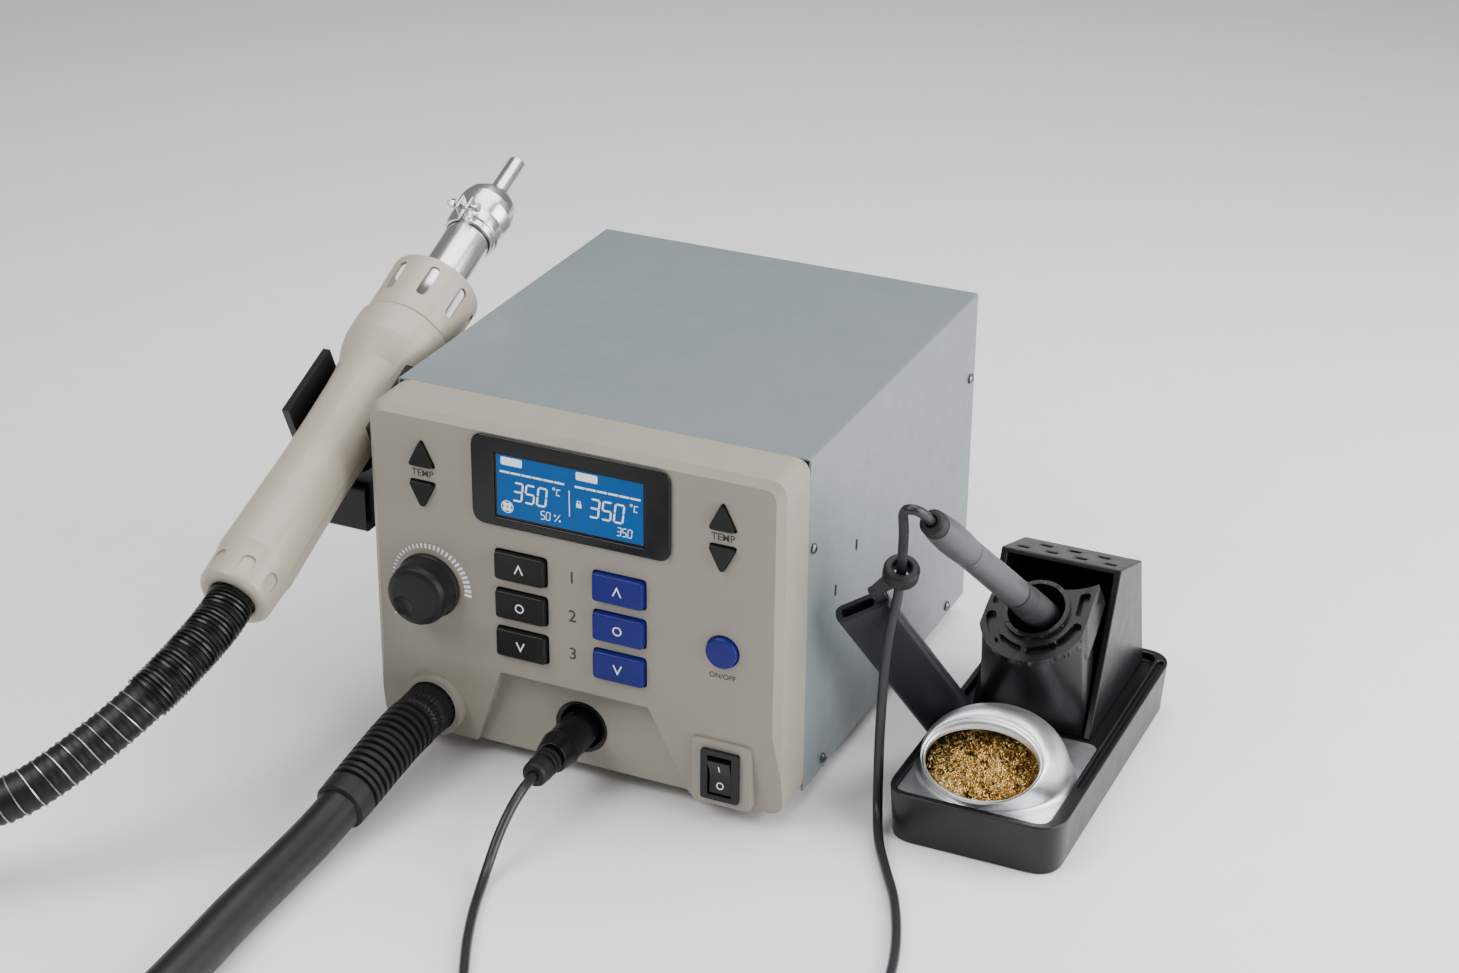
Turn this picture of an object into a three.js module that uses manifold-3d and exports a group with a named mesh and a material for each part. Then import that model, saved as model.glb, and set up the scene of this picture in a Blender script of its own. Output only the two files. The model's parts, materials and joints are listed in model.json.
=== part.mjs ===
// Two-channel rework station: control unit, hot-air gun in its cradle, soldering iron in its stand.
// Millimetres, +X to the right of the front panel, +Y from the front panel to the back, +Z up.
import * as THREE from "three";
import Module from "manifold-3d";
import { mergeVertices } from "three/addons/utils/BufferGeometryUtils.js";
import { ConvexGeometry } from "three/addons/geometries/ConvexGeometry.js";

const wasm = await Module();
wasm.setup();

// ---------- driving dimensions ----------
// Lengths below are measured from the left front foot of the control unit's case:
// x = 0 at its left wall, y = 0 at the joint of bezel and case, z = 0 at the table.
const GAP = 0.35; // between touching pieces
const FOOT_H = 10;
const CASE_W = 242;
const CASE_D = 250;
const CASE_TOP = 208;
const SHEET = 1.2; // case sheet metal
const PANEL_Y = -34; // upper front face of the bezel
const PANEL_WALL = 3;
const LEAN_Z = 62; // below this height the panel leans back
const LEAN = 7; // how far it leans back at the bottom
const RECESS_Y = -24; // face of the socket recess

const DISPLAY = { x: 122, z: 177.5, w: 116, h: 52, glassW: 87, glassH: 37 };
const KNOB = { x: 35, z: 105.8, r: 18.3, length: 17 };
const HOSE_PORT = { x: 34, z: 30.4, ring: 18.4, bore: 15.2 };
const SOCKET = { x: 121, z: 33, bore: 15.5 };
const ROCKER = { x: 208.8, z: 31, w: 22, h: 30 };
const KEY = { w: 30.5, h: 17, radius: 2.5, proud: 3.5, pitch: 23.2, topZ: 128.6 };
const KEY_COLUMNS = { black: 91.7, blue: 149.7 };
const ARROW = { w: 16, h: 15.8, upZ: 184.5, downZ: 159.5, leftX: 33.4, rightX: 208.8 };
const ROUND_KEY = { x: 209.2, z: 105.8, r: 9 };
const FOOT_R = 8;

const GUN_TAIL = [-38, -113.6, 118];
const GUN_RISE = THREE.MathUtils.degToRad(23.3);
const HOSE_R = 12;

const HOLDER = { centre: [336.5, 97.8, 95], axis: [-0.11, -0.518, 0.848], radius: 32.3, half: 29.5, bore: 15.5 };
const IRON_AXIS = [-0.1786, -0.7249, 0.6653];
const IRON_LENGTH = 143; // from the holder's face to the tail
const LEAD_R = 2.75;

const BASE = { x0: 291, x1: 389, y0: -10, y1: 198, radius: 17, rim: 30, floor: 25 };
const DOME = { x: 338, y: 37, z: 27, r: 40, wall: 1.6 };
const MOUTH = { x: 337.7, y: 13, z: 45.2, across: 32, along: 23, slope: 27 }; // mouth of the hood, sloped in degrees
const ARM = { foot: [293, 79, 31], top: [268.5, 10.3, 125], wide: [0.83, 0.328, 0.451], w: 30, t: 11 };

// The origin of the part is the middle of its footprint, on the table.
const ORIGIN = [161, 65.8, 0];

// ---------- small tools ----------
const Z_AXIS = new THREE.Vector3(0, 0, 1);
const vec = (p) => new THREE.Vector3(...p);

// A closed geometry as a solid that can be joined and cut.
function solid(geometry) {
  const bare = (geometry.index ? geometry.toNonIndexed() : geometry).clone();
  for (const name of Object.keys(bare.attributes)) if (name !== "position") bare.deleteAttribute(name);
  const merged = mergeVertices(bare, 1e-4);
  const corner = merged.index.array;
  const kept = [];
  for (let i = 0; i < corner.length; i += 3) {
    const [a, b, c] = [corner[i], corner[i + 1], corner[i + 2]];
    if (a !== b && b !== c && a !== c) kept.push(a, b, c);
  }
  const build = (triangles) =>
    new wasm.Manifold(
      new wasm.Mesh({
        numProp: 3,
        vertProperties: new Float32Array(merged.attributes.position.array),
        triVerts: new Uint32Array(triangles),
      }),
    );
  const made = build(kept);
  if (made.volume() > 0) return made;
  for (let i = 0; i < kept.length; i += 3) [kept[i + 1], kept[i + 2]] = [kept[i + 2], kept[i + 1]];
  return build(kept);
}

const join = (first, ...more) => more.reduce((sum, next) => sum.add(next), first);
const cut = (first, ...more) => more.reduce((rest, next) => rest.subtract(next), first);

function box(x0, x1, y0, y1, z0, z1) {
  const g = new THREE.BoxGeometry(x1 - x0, y1 - y0, z1 - z0);
  return solid(g.translate((x0 + x1) / 2, (y0 + y1) / 2, (z0 + z1) / 2));
}

// Outline helpers: rounded rectangle and polygon with rounded corners.
function roundedRect(w, h, r, cx = 0, cy = 0) {
  const corners = [[cx - w / 2, cy - h / 2], [cx + w / 2, cy - h / 2], [cx + w / 2, cy + h / 2], [cx - w / 2, cy + h / 2]];
  return roundedPolygon(corners, r);
}

function roundedPolygon(corners, r) {
  const shape = new THREE.Shape();
  const n = corners.length;
  corners.forEach((corner, i) => {
    const here = new THREE.Vector2(...corner);
    const before = new THREE.Vector2(...corners[(i + n - 1) % n]).sub(here).normalize();
    const after = new THREE.Vector2(...corners[(i + 1) % n]).sub(here).normalize();
    const reach = r / Math.tan(Math.acos(before.dot(after)) / 2);
    const a = here.clone().addScaledVector(before, reach);
    const b = here.clone().addScaledVector(after, reach);
    if (i === 0) shape.moveTo(a.x, a.y);
    else shape.lineTo(a.x, a.y);
    shape.quadraticCurveTo(here.x, here.y, b.x, b.y);
  });
  shape.closePath();
  return shape;
}

const circle = (r, cx = 0, cy = 0) => new THREE.Shape().absarc(cx, cy, r, 0, Math.PI * 2);
const polygon = (points) => new THREE.Shape(points.map((p) => new THREE.Vector2(...p)));

function extrude(shape, depth, curveSegments = 5) {
  return new THREE.ExtrudeGeometry(shape, { depth, bevelEnabled: false, curveSegments, steps: 1 });
}

// An outline in X and Z pushed from y0 back to y1.
function alongY(shape, y0, y1, curveSegments) {
  return solid(extrude(shape, y1 - y0, curveSegments).rotateX(Math.PI / 2).translate(0, y1, 0));
}

// An outline in Y and Z pushed from x0 to x1.
function alongX(shape, x0, x1, curveSegments) {
  const turn = new THREE.Matrix4().set(0, 0, 1, 0, 1, 0, 0, 0, 0, 1, 0, 0, 0, 0, 0, 1);
  return solid(extrude(shape, x1 - x0, curveSegments).applyMatrix4(turn).translate(x0, 0, 0));
}

// An outline in X and Y pushed from z0 up to z1.
function alongZ(shape, z0, z1, curveSegments) {
  return solid(extrude(shape, z1 - z0, curveSegments).translate(0, 0, z0));
}

// A turned piece: profile is [radius, distance along the axis], from origin along direction.
function turned(profile, origin, direction, sides = 20) {
  const points = profile.map(([r, h]) => new THREE.Vector2(r, h));
  const g = new THREE.LatheGeometry(points, sides);
  g.applyQuaternion(new THREE.Quaternion().setFromUnitVectors(new THREE.Vector3(0, 1, 0), vec(direction).normalize()));
  return solid(g.translate(...origin));
}

// A solid rod and a pipe, both along direction between distances h0 and h1 from origin.
const rod = (r, h0, h1, origin, direction, sides) =>
  turned([[0, h0], [r, h0], [r, h1], [0, h1]], origin, direction, sides);
const pipe = (r, bore, h0, h1, origin, direction, sides) =>
  turned([[bore, h0], [r, h0], [r, h1], [bore, h1], [bore, h0]], origin, direction, sides);

// A point at distance s along an axis.
const along = (origin, direction, s) => vec(origin).addScaledVector(vec(direction).normalize(), s);

// ---------- materials ----------
const finish = (color, roughness, metalness = 0) => ({ color, roughness, metalness });
const BEZEL_GREY = finish(0xb9b4aa, 0.55);
const CASE_PAINT = finish(0x98a3a6, 0.5, 0.2);
const STEEL = finish(0xc9cbcc, 0.3, 0.9);
const BLACK = finish(0x1b1c1e, 0.5);
const RUBBER = finish(0x202224, 0.75);
const BLUE_KEY = finish(0x23289a, 0.4);
const LCD_BLUE = finish(0x1b6db6, 0.25);
const GUN_BEIGE = finish(0xc6c0b4, 0.5);
const BOARD = finish(0x1f6b3c, 0.6);
const IRON_GREY = finish(0x63666a, 0.55);
const GRIP = finish(0x2c2e31, 0.8);
const BRASS = finish(0xb98a2e, 0.35, 0.9);
const COPPER = finish(0x9b5a2a, 0.45, 0.6);
const CERAMIC = finish(0xd9d2c2, 0.8);

const model = new THREE.Group();
const cords = new THREE.Group();

// Adds one named piece. The solid keeps its place, so the mesh sits at the group's origin.
function piece(name, body, look, group = model) {
  const made = body.getMesh();
  const positions = new Float32Array(made.numVert * 3);
  for (let i = 0; i < made.numVert; i++)
    positions.set(made.vertProperties.subarray(i * made.numProp, i * made.numProp + 3), i * 3);
  const g = new THREE.BufferGeometry();
  g.setAttribute("position", new THREE.BufferAttribute(positions, 3));
  g.setIndex(new THREE.BufferAttribute(made.triVerts, 1));
  g.computeVertexNormals();
  const mesh = new THREE.Mesh(g, new THREE.MeshStandardMaterial(look));
  mesh.name = name;
  group.add(mesh);
}

// ---------- control unit: housing ----------
const PANEL_OUTLINE = [[PANEL_Y, CASE_TOP + 1], [PANEL_Y, LEAN_Z], [PANEL_Y + LEAN, FOOT_H], [PANEL_Y + LEAN, FOOT_H - 1], [1, FOOT_H - 1], [1, CASE_TOP + 1]];

// The bezel's outer form or, shrunk by inset, its hollow.
function bezelForm(inset) {
  const w = CASE_W - 2 * inset;
  const h = CASE_TOP - FOOT_H - 2 * inset;
  const block = alongY(roundedRect(w, h, 9 - inset, CASE_W / 2, (CASE_TOP + FOOT_H) / 2), PANEL_Y - 1, inset ? 1 : 0, 4);
  const outline = PANEL_OUTLINE.map(([y, z]) => [y < 0 ? y + inset : y + 1, z === LEAN_Z ? z - inset / 8 : z]);
  return block.intersect(alongX(polygon(outline), -1, CASE_W + 1));
}

// The chamfer round the bezel's front edge, as the piece that it keeps.
function bezelEdge() {
  const size = 4;
  const lip = (w) => roundedRect(CASE_W - w, CASE_TOP - FOOT_H - w, 9 - w / 4, CASE_W / 2, (CASE_TOP + FOOT_H) / 2);
  const front = extrude(lip(2 * size), 0.01, 4).rotateX(Math.PI / 2).translate(0, PANEL_Y, 0);
  const back = extrude(lip(0), -PANEL_Y - size + 2, 4).rotateX(Math.PI / 2).translate(0, 2, 0);
  const points = [front, back].flatMap((g) => {
    const p = g.attributes.position;
    return Array.from({ length: p.count }, (_, i) => new THREE.Vector3().fromBufferAttribute(p, i));
  });
  return solid(new ConvexGeometry(points));
}

const keyShape = (x, z, grow = 0) => roundedRect(KEY.w + grow, KEY.h + grow, KEY.radius, x, z);

function arrowShape(x, z, up, grow = 0) {
  const w = ARROW.w / 2 + grow;
  const h = ARROW.h / 2 + grow;
  const side = up ? 1 : -1;
  return roundedPolygon([[x - w * side, z - h * side], [x + w * side, z - h * side], [x, z + h * side]], 1.8);
}

const ARROWS = [
  ["left_up", ARROW.leftX, ARROW.upZ, true],
  ["left_down", ARROW.leftX, ARROW.downZ, false],
  ["right_up", ARROW.rightX, ARROW.upZ, true],
  ["right_down", ARROW.rightX, ARROW.downZ, false],
];
const KEY_ROWS = [["up", KEY.topZ], ["middle", KEY.topZ - KEY.pitch], ["down", KEY.topZ - 2 * KEY.pitch]];
const trapezoid = (inset) => polygon([[57 + inset, 8], [188 - inset, 8], [166 - inset, 61.5 - inset], [77 + inset, 61.5 - inset]]);

function frontBezel() {
  const shell = cut(bezelForm(0).intersect(bezelEdge()), bezelForm(PANEL_WALL));
  const inside = bezelForm(PANEL_WALL / 2);
  const recessWall = alongY(trapezoid(-PANEL_WALL), PANEL_Y, RECESS_Y + PANEL_WALL).intersect(inside);
  const portX = HOSE_PORT.x;
  const portWall = rod(HOSE_PORT.ring, PANEL_Y - 2, -23.8, [portX, 0, HOSE_PORT.z], [0, 1, 0], 28);
  const rockerWall = alongY(roundedRect(34, 39, 3, ROCKER.x, ROCKER.z + 0.5), PANEL_Y, -26);
  const tab = (x0, x1) => box(x0, x1, -2, 12, 145, 167);
  const body = join(shell, recessWall, portWall, rockerWall, tab(CASE_W - 4.4, CASE_W - 1.7), tab(1.7, 4.4));
  const through = (shape) => alongY(shape, PANEL_Y - 6, RECESS_Y + 6, 4);
  const openings = [
    alongY(trapezoid(0), PANEL_Y - 6, RECESS_Y),
    through(roundedRect(DISPLAY.glassW + 8, DISPLAY.glassH + 8, 3, DISPLAY.x, DISPLAY.z - 2)),
    rod(HOSE_PORT.bore, PANEL_Y - 9, -10, [portX, 0, HOSE_PORT.z], [0, 1, 0], 28),
    rod(SOCKET.bore, PANEL_Y, -10, [SOCKET.x, 0, SOCKET.z], [0, 1, 0], 28),
    rod(4, PANEL_Y - 4, -20, [KNOB.x, 0, KNOB.z], [0, 1, 0], 12),
    rod(ROUND_KEY.r + 0.6, PANEL_Y - 4, -20, [ROUND_KEY.x, 0, ROUND_KEY.z], [0, 1, 0], 24),
    through(roundedRect(20, 28, 1, ROCKER.x, ROCKER.z)),
    ...ARROWS.map(([, x, z, up]) => through(arrowShape(x, z, up, 0.7))),
    ...Object.values(KEY_COLUMNS).flatMap((x) => KEY_ROWS.map(([, z]) => through(keyShape(x, z, 1)))),
    rod(1.8, CASE_W - 6, CASE_W, [0, 5.7, 155], [1, 0, 0], 8),
    rod(1.8, 0, 6, [0, 5.7, 155], [1, 0, 0], 8),
  ];
  return cut(body, ...openings);
}
piece("front_bezel", frontBezel(), BEZEL_GREY);

const SCREWS = [[5.7, 155], [242, 157], [26.4, 16.9], [219.4, 16.9]];
const SIDE_HOLES = [[39.3, 114], [67.9, 128.2]];

function caseCover() {
  const outer = roundedPolygon([[0, FOOT_H], [CASE_W, FOOT_H], [CASE_W, CASE_TOP], [0, CASE_TOP]], 1.5);
  const inner = polygon([[SHEET, 0], [CASE_W - SHEET, 0], [CASE_W - SHEET, CASE_TOP - SHEET], [SHEET, CASE_TOP - SHEET]]);
  const shell = cut(alongY(outer, GAP, CASE_D, 2), alongY(inner, -1, CASE_D + 1));
  const holes = SCREWS.map(([y, z]) => rod(1.8, -2, CASE_W + 2, [0, y, z], [1, 0, 0], 8));
  const vents = SIDE_HOLES.map(([y, z]) => alongX(roundedRect(3, 7, 1, y, z), CASE_W - 4, CASE_W + 2, 2));
  return cut(shell, ...holes, ...vents);
}
piece("case_cover", caseCover(), CASE_PAINT);

const IN0 = SHEET + GAP; // inner face of the side walls
const IN1 = CASE_W - SHEET - GAP;

function chassisTray() {
  const block = box(IN0, IN1, GAP, CASE_D - 3, FOOT_H, 24);
  const hollow = box(IN0 + SHEET, IN1 - SHEET, -1, CASE_D, FOOT_H + SHEET, 30);
  const holes = SCREWS.slice(2).map(([y, z]) => rod(1.8, -2, CASE_W + 2, [0, y, z], [1, 0, 0], 8));
  return cut(block, hollow, ...holes);
}
piece("chassis_tray", chassisTray(), STEEL);

const INLET = { x: 60, z: 45 };

function rearPanel() {
  const plate = box(IN0, IN1, CASE_D - SHEET, CASE_D, FOOT_H + SHEET + GAP, CASE_TOP - SHEET - GAP);
  const flange = (x0, x1) => box(x0, x1, CASE_D - 12, CASE_D, 30, 200);
  const body = join(plate, flange(IN0, IN0 + SHEET), flange(IN1 - SHEET, IN1));
  const slot = (x, z) => box(x - 2, x + 2, CASE_D - 4, CASE_D + 2, z, z + 34);
  const slots = [120, 162].flatMap((z) => Array.from({ length: 9 }, (_, i) => slot(85 + i * 9, z)));
  const screwHoles = SCREWS.slice(1, 2).map(([y, z]) => rod(1.8, -2, CASE_W + 2, [0, y, z], [1, 0, 0], 8));
  return cut(body, ...slots, ...screwHoles, box(INLET.x - 14, INLET.x + 14, 240, 252, INLET.z - 11, INLET.z + 11));
}
piece("rear_panel", rearPanel(), CASE_PAINT);

SCREWS.forEach(([y, z], i) => {
  const profile = [[0, -3.6], [1.4, -3.6], [1.4, GAP], [3, GAP], [2.4, 1.6], [0, 1.9]];
  piece("cover_screw_" + (i + 1), turned(profile, [CASE_W, y, z], [1, 0, 0], 10), STEEL);
});

[[24, 30], [CASE_W - 24, 30], [24, 222], [CASE_W - 24, 222]].forEach(([x, y], i) => {
  const profile = [[0, 0], [FOOT_R - 1, 0], [FOOT_R, 1.5], [FOOT_R + 1, FOOT_H - GAP], [0, FOOT_H - GAP]];
  piece("case_foot_" + (i + 1), turned(profile, [x, y, 0], [0, 0, 1], 14), RUBBER);
});

// ---------- control unit: panel controls ----------
function displayBezel() {
  const plate = alongY(roundedRect(DISPLAY.w, DISPLAY.h, 8, DISPLAY.x, DISPLAY.z), PANEL_Y - 2, PANEL_Y - GAP);
  const window = roundedRect(DISPLAY.glassW + 1, DISPLAY.glassH + 1, 1, DISPLAY.x, DISPLAY.z - 1.8);
  return cut(plate, alongY(window, PANEL_Y - 5, PANEL_Y + 2, 2));
}
piece("display_frame", displayBezel(), BLACK);
piece("display_panel", alongY(roundedRect(DISPLAY.glassW, DISPLAY.glassH, 1, DISPLAY.x, DISPLAY.z - 1.8), PANEL_Y - 1, -27, 2), LCD_BLUE);

function flowKnob() {
  const { r, length } = KNOB;
  const profile = [[0, 0], [r + 0.6, 0], [r + 0.6, 2], [r, 2.6], [r - 0.4, length - 2.4], [r - 2, length], [0, length]];
  const start = [KNOB.x, PANEL_Y - GAP, KNOB.z];
  const body = turned(profile, start, [0, -1, 0], 32);
  const dimple = solid(new THREE.SphereGeometry(9, 12, 8).translate(KNOB.x - 7, PANEL_Y - length - 6.5, KNOB.z - 7));
  return cut(body, dimple, rod(3.4, -1, 11, start, [0, -1, 0], 12));
}
piece("air_flow_knob", flowKnob(), BLACK);

function flowPotentiometer() {
  const start = [KNOB.x, -20.6, KNOB.z];
  return join(rod(8, 0, 9.4, start, [0, -1, 0], 14), rod(3, 9, 23, start, [0, -1, 0], 12));
}
piece("air_flow_potentiometer", flowPotentiometer(), STEEL);

const KEY_BACK = -28.5;
for (const [colour, x] of Object.entries(KEY_COLUMNS))
  for (const [row, z] of KEY_ROWS) {
    const look = colour === "blue" ? BLUE_KEY : BLACK;
    piece(colour + "_key_" + row, alongY(keyShape(x, z), PANEL_Y - KEY.proud, KEY_BACK, 2), look);
  }
for (const [name, x, z, up] of ARROWS)
  piece("arrow_key_" + name, alongY(arrowShape(x, z, up), PANEL_Y - 2.6, KEY_BACK, 2), BLACK);
piece("round_key", rod(ROUND_KEY.r, -KEY_BACK, -PANEL_Y + 3, [ROUND_KEY.x, 0, ROUND_KEY.z], [0, -1, 0], 24), BLUE_KEY);

function rockerFrame() {
  const flange = alongY(roundedRect(ROCKER.w, ROCKER.h, 1.5, ROCKER.x, ROCKER.z), PANEL_Y - 2.2, PANEL_Y - GAP, 2);
  const body = alongY(roundedRect(19, 27, 1, ROCKER.x, ROCKER.z), PANEL_Y - 1, -14, 2);
  const well = alongY(roundedRect(13.6, 23.6, 0.5, ROCKER.x, ROCKER.z), PANEL_Y - 6, -20, 1);
  return cut(join(flange, body), well);
}
piece("rocker_frame", rockerFrame(), BLACK);

const ROCKER_PIVOT = [-30, ROCKER.z];
const ROCKER_TILT = THREE.MathUtils.degToRad(8);

// Rests with its lower half pressed in.
function powerRocker() {
  const side = [[-6.9, -10.2], [-4.9, 0], [-6.9, 10.2], [0, 10.2], [4, 5], [4, -5], [0, -10.2]];
  const turn = ([y, z]) => [
    ROCKER_PIVOT[0] + y * Math.cos(ROCKER_TILT) + z * Math.sin(-ROCKER_TILT),
    ROCKER_PIVOT[1] - y * Math.sin(-ROCKER_TILT) + z * Math.cos(ROCKER_TILT),
  ];
  return alongX(polygon(side.map(turn)), ROCKER.x - 6.4, ROCKER.x + 6.4);
}
piece("power_rocker", powerRocker(), BLACK);

// ---------- control unit: inside ----------
function frontBoard() {
  const plate = box(14, 228, -20, -18.4, 66, 198);
  return join(plate, box(95, 150, -18.5, -13, 150, 186), box(170, 190, -18.5, -12, 90, 110));
}
piece("front_circuit_board", frontBoard(), BOARD);

function mainBoard() {
  const plate = box(150, 232, 20, 150, 18, 19.6);
  const heatsink = Array.from({ length: 6 }, (_, i) => box(215 + i * 2.6, 216.2 + i * 2.6, 40, 100, 24, 60));
  const capacitors = [[165, 40], [165, 62], [186, 50]].map(([x, y]) => rod(8, 19, 48, [x, y, 0], [0, 0, 1], 10));
  return join(plate, box(214, 230.5, 40, 100, 19, 25), ...heatsink, ...capacitors);
}
piece("main_circuit_board", mainBoard(), BOARD);

function transformer() {
  const core = join(box(100, 116, 165, 235, 14, 74), box(96, 120, 160, 240, 11.7, 15));
  const winding = alongX(roundedRect(34, 40, 5, 200, 44), 90, 126, 2);
  return cut(join(core, winding), box(99, 117, 176, 182.9, 28, 60), box(99, 117, 217.1, 224, 28, 60));
}
piece("transformer", transformer(), COPPER);

const BLOWER = { x0: 10, x1: 58, y: 90, z: 66, r: 48 };

function blowerHousing() {
  const { x0, x1, y, z, r } = BLOWER;
  const duct = (grow) => box(20 - grow, 48 + grow, grow ? 26 : 20, y, 19.2 - grow, 41.6 + grow);
  const body = join(rod(r, x0, x1, [0, y, z], [1, 0, 0], 28), duct(2));
  const hollow = join(rod(r - 2.5, x0 + 2.5, x1 - 2.5, [0, y, z], [1, 0, 0], 28), duct(0));
  return cut(body, hollow, rod(20, x1 - 5, x1 + 2, [0, y, z], [1, 0, 0], 20));
}
piece("blower_housing", blowerHousing(), BLACK);

function blowerRotor() {
  const { x0, x1, y, z } = BLOWER;
  const hub = rod(9, x0 + 4, x1 - 6, [0, y, z], [1, 0, 0], 16);
  const disc = rod(40, x0 + 4, x0 + 6, [0, y, z], [1, 0, 0], 24);
  const blades = Array.from({ length: 10 }, (_, i) => {
    const g = new THREE.BoxGeometry(26, 16, 1.6).translate(x0 + 18, 31.5, 0);
    return solid(g.rotateX((i * Math.PI) / 5).translate(0, y, z));
  });
  return join(hub, disc, ...blades);
}
piece("blower_rotor", blowerRotor(), BLACK);
piece("air_duct", pipe(14.5, 12.3, -3, 25.5, [HOSE_PORT.x, 0, HOSE_PORT.z], [0, 1, 0], 20), RUBBER);

function hoseCollar() {
  const at = [HOSE_PORT.x, 0, HOSE_PORT.z];
  return cut(join(rod(14.8, -32, -3.4, at, [0, 1, 0], 24), rod(17, -23.4, -20.6, at, [0, 1, 0], 24)), rod(12.3, -40, 2, at, [0, 1, 0], 20));
}
piece("hose_collar", hoseCollar(), STEEL);

function ironSocket() {
  const at = [SOCKET.x, 0, SOCKET.z];
  const body = join(rod(15, RECESS_Y - 1, -4, at, [0, 1, 0], 28), rod(18.5, RECESS_Y + 3.4, -17, at, [0, 1, 0], 24));
  return cut(body, rod(11.6, -30, -10, at, [0, 1, 0], 24));
}
piece("iron_socket", ironSocket(), BLACK);

function powerInlet() {
  const flange = box(INLET.x - 16, INLET.x + 16, CASE_D + GAP, CASE_D + 2.6, INLET.z - 13, INLET.z + 13);
  const body = box(INLET.x - 13.5, INLET.x + 13.5, CASE_D - 20, CASE_D + 1, INLET.z - 10.5, INLET.z + 10.5);
  const mouth = box(INLET.x - 12, INLET.x + 12, CASE_D - 14, CASE_D + 4, INLET.z - 8.5, INLET.z + 8.5);
  return cut(join(flange, body), mouth);
}
piece("power_inlet", powerInlet(), BLACK);

// ---------- hot-air gun, in its own frame: s along the axis from the tail, n up across it ----------
const GUN_DIR = [0, Math.cos(GUN_RISE), Math.sin(GUN_RISE)];
const onGun = (profile, sides) => turned(profile, GUN_TAIL, GUN_DIR, sides);
const GUN_UP = [0, -Math.sin(GUN_RISE), Math.cos(GUN_RISE)];
const gunMatrix = new THREE.Matrix4()
  .makeBasis(new THREE.Vector3(-1, 0, 0), vec(GUN_UP), vec(GUN_DIR))
  .setPosition(...GUN_TAIL);
// A solid drawn with Z along the gun's axis and Y across it, put in place.
const placeOnGun = (geometry) => solid(geometry.applyMatrix4(gunMatrix));

function gunHandle() {
  const grip = [[13.5, 0], [18.6, 0], [20.8, 3], [21.2, 14], [22.2, 25], [21.6, 45], [20.6, 90], [20.8, 120], [21.5, 145]];
  const shoulder = [[22, 155], [23, 165], [27.4, 177], [28.2, 184], [28.2, 201.6]];
  const inner = [[22, 201.6], [22, 190], [13.5, 172], [13.5, 0]];
  const outer = [...grip, ...shoulder];
  return onGun([...outer, ...inner], 28);
}
piece("gun_handle", gunHandle(), GUN_BEIGE);

function gunShroud() {
  const body = onGun([[21, 202], [26.4, 202], [26.6, 216], [27.2, 241], [25.2, 241], [24, 208], [21, 202]], 32);
  const slots = Array.from({ length: 8 }, (_, i) => {
    const shape = roundedRect(6.4, 21, 3, 0, 0);
    const g = extrude(shape, 14, 3).rotateX(Math.PI / 2).translate(0, 33, 225);
    return placeOnGun(g.rotateZ(((i + 0.5) * Math.PI) / 4));
  });
  return cut(body, ...slots);
}
piece("gun_shroud", gunShroud(), GUN_BEIGE);
piece("heater_tube", onGun([[11.9, 193], [13.5, 193], [13.5, 299], [11.9, 299], [11.9, 193]], 28), STEEL);
piece("heater_core", onGun([[0, 120], [9, 120], [9, 186], [11.2, 190], [11.2, 285], [0, 285]], 16), CERAMIC);

const NOZZLE_SCREW_AT = 291; // along the gun's axis
function gunNozzle() {
  const cap = [[14, 284], [15.6, 284], [15.6, 306], [14.4, 312], [11.8, 317.5], [8.4, 321], [5.6, 323], [5.6, 351.3], [4.6, 351.3], [4.6, 322.5], [7.6, 320], [11, 316.2], [13.2, 311], [14, 305.5], [14, 284]];
  const ear = (side) => placeOnGun(new THREE.BoxGeometry(2, 9, 11).translate(side * 4, 19, NOZZLE_SCREW_AT));
  const slit = placeOnGun(new THREE.BoxGeometry(5.8, 30, 20).translate(0, 22, 284));
  const hole = placeOnGun(new THREE.CylinderGeometry(1.9, 1.9, 30, 10).rotateZ(Math.PI / 2).translate(0, 20, NOZZLE_SCREW_AT));
  return cut(join(onGun(cap, 32), ear(1), ear(-1)), slit, hole);
}
piece("gun_nozzle", gunNozzle(), STEEL);

function nozzleScrew() {
  const profile = [[0, -9], [2.6, -9], [2.6, -6.3], [1.4, -6.3], [1.4, 9.5], [3, 9.5], [3, 12], [0, 12]];
  const g = new THREE.LatheGeometry(profile.map((p) => new THREE.Vector2(...p)), 10);
  return placeOnGun(g.rotateZ(-Math.PI / 2).translate(0, 20, NOZZLE_SCREW_AT));
}
piece("nozzle_screw", nozzleScrew(), STEEL);

// Cradle on the left wall of the case: a trough round the handle, an arm and a wall plate.
function gunCradle() {
  const profile = new THREE.Shape();
  profile.moveTo(-29, 18).lineTo(-29, -12).quadraticCurveTo(-27, -29, -12, -31);
  profile.lineTo(12, -31).quadraticCurveTo(27, -29, 29, -12).lineTo(29, 18).lineTo(24.4, 18).lineTo(24.4, 0);
  profile.absarc(0, 0, 24.4, 0, -Math.PI, true);
  profile.lineTo(-24.4, 18).closePath();
  const shell = placeOnGun(extrude(profile, 49, 8).translate(0, 0, 117));
  const plate = alongX(roundedRect(46, 78, 5, 28, 137), -5, -GAP, 3);
  const arm = alongX(polygon([[6, 112], [48, 118], [48, 152], [6, 146]]), -30, -4);
  const foot = alongX(roundedPolygon([[2, 107], [40, 107], [44, 152], [2, 134]], 3), -54, -26, 3);
  const clear = placeOnGun(new THREE.CylinderGeometry(24.4, 24.4, 120, 24).rotateX(Math.PI / 2).translate(0, 0, 141));
  return cut(join(shell, plate, arm, foot), clear);
}
piece("gun_cradle", gunCradle(), BLACK);

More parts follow.
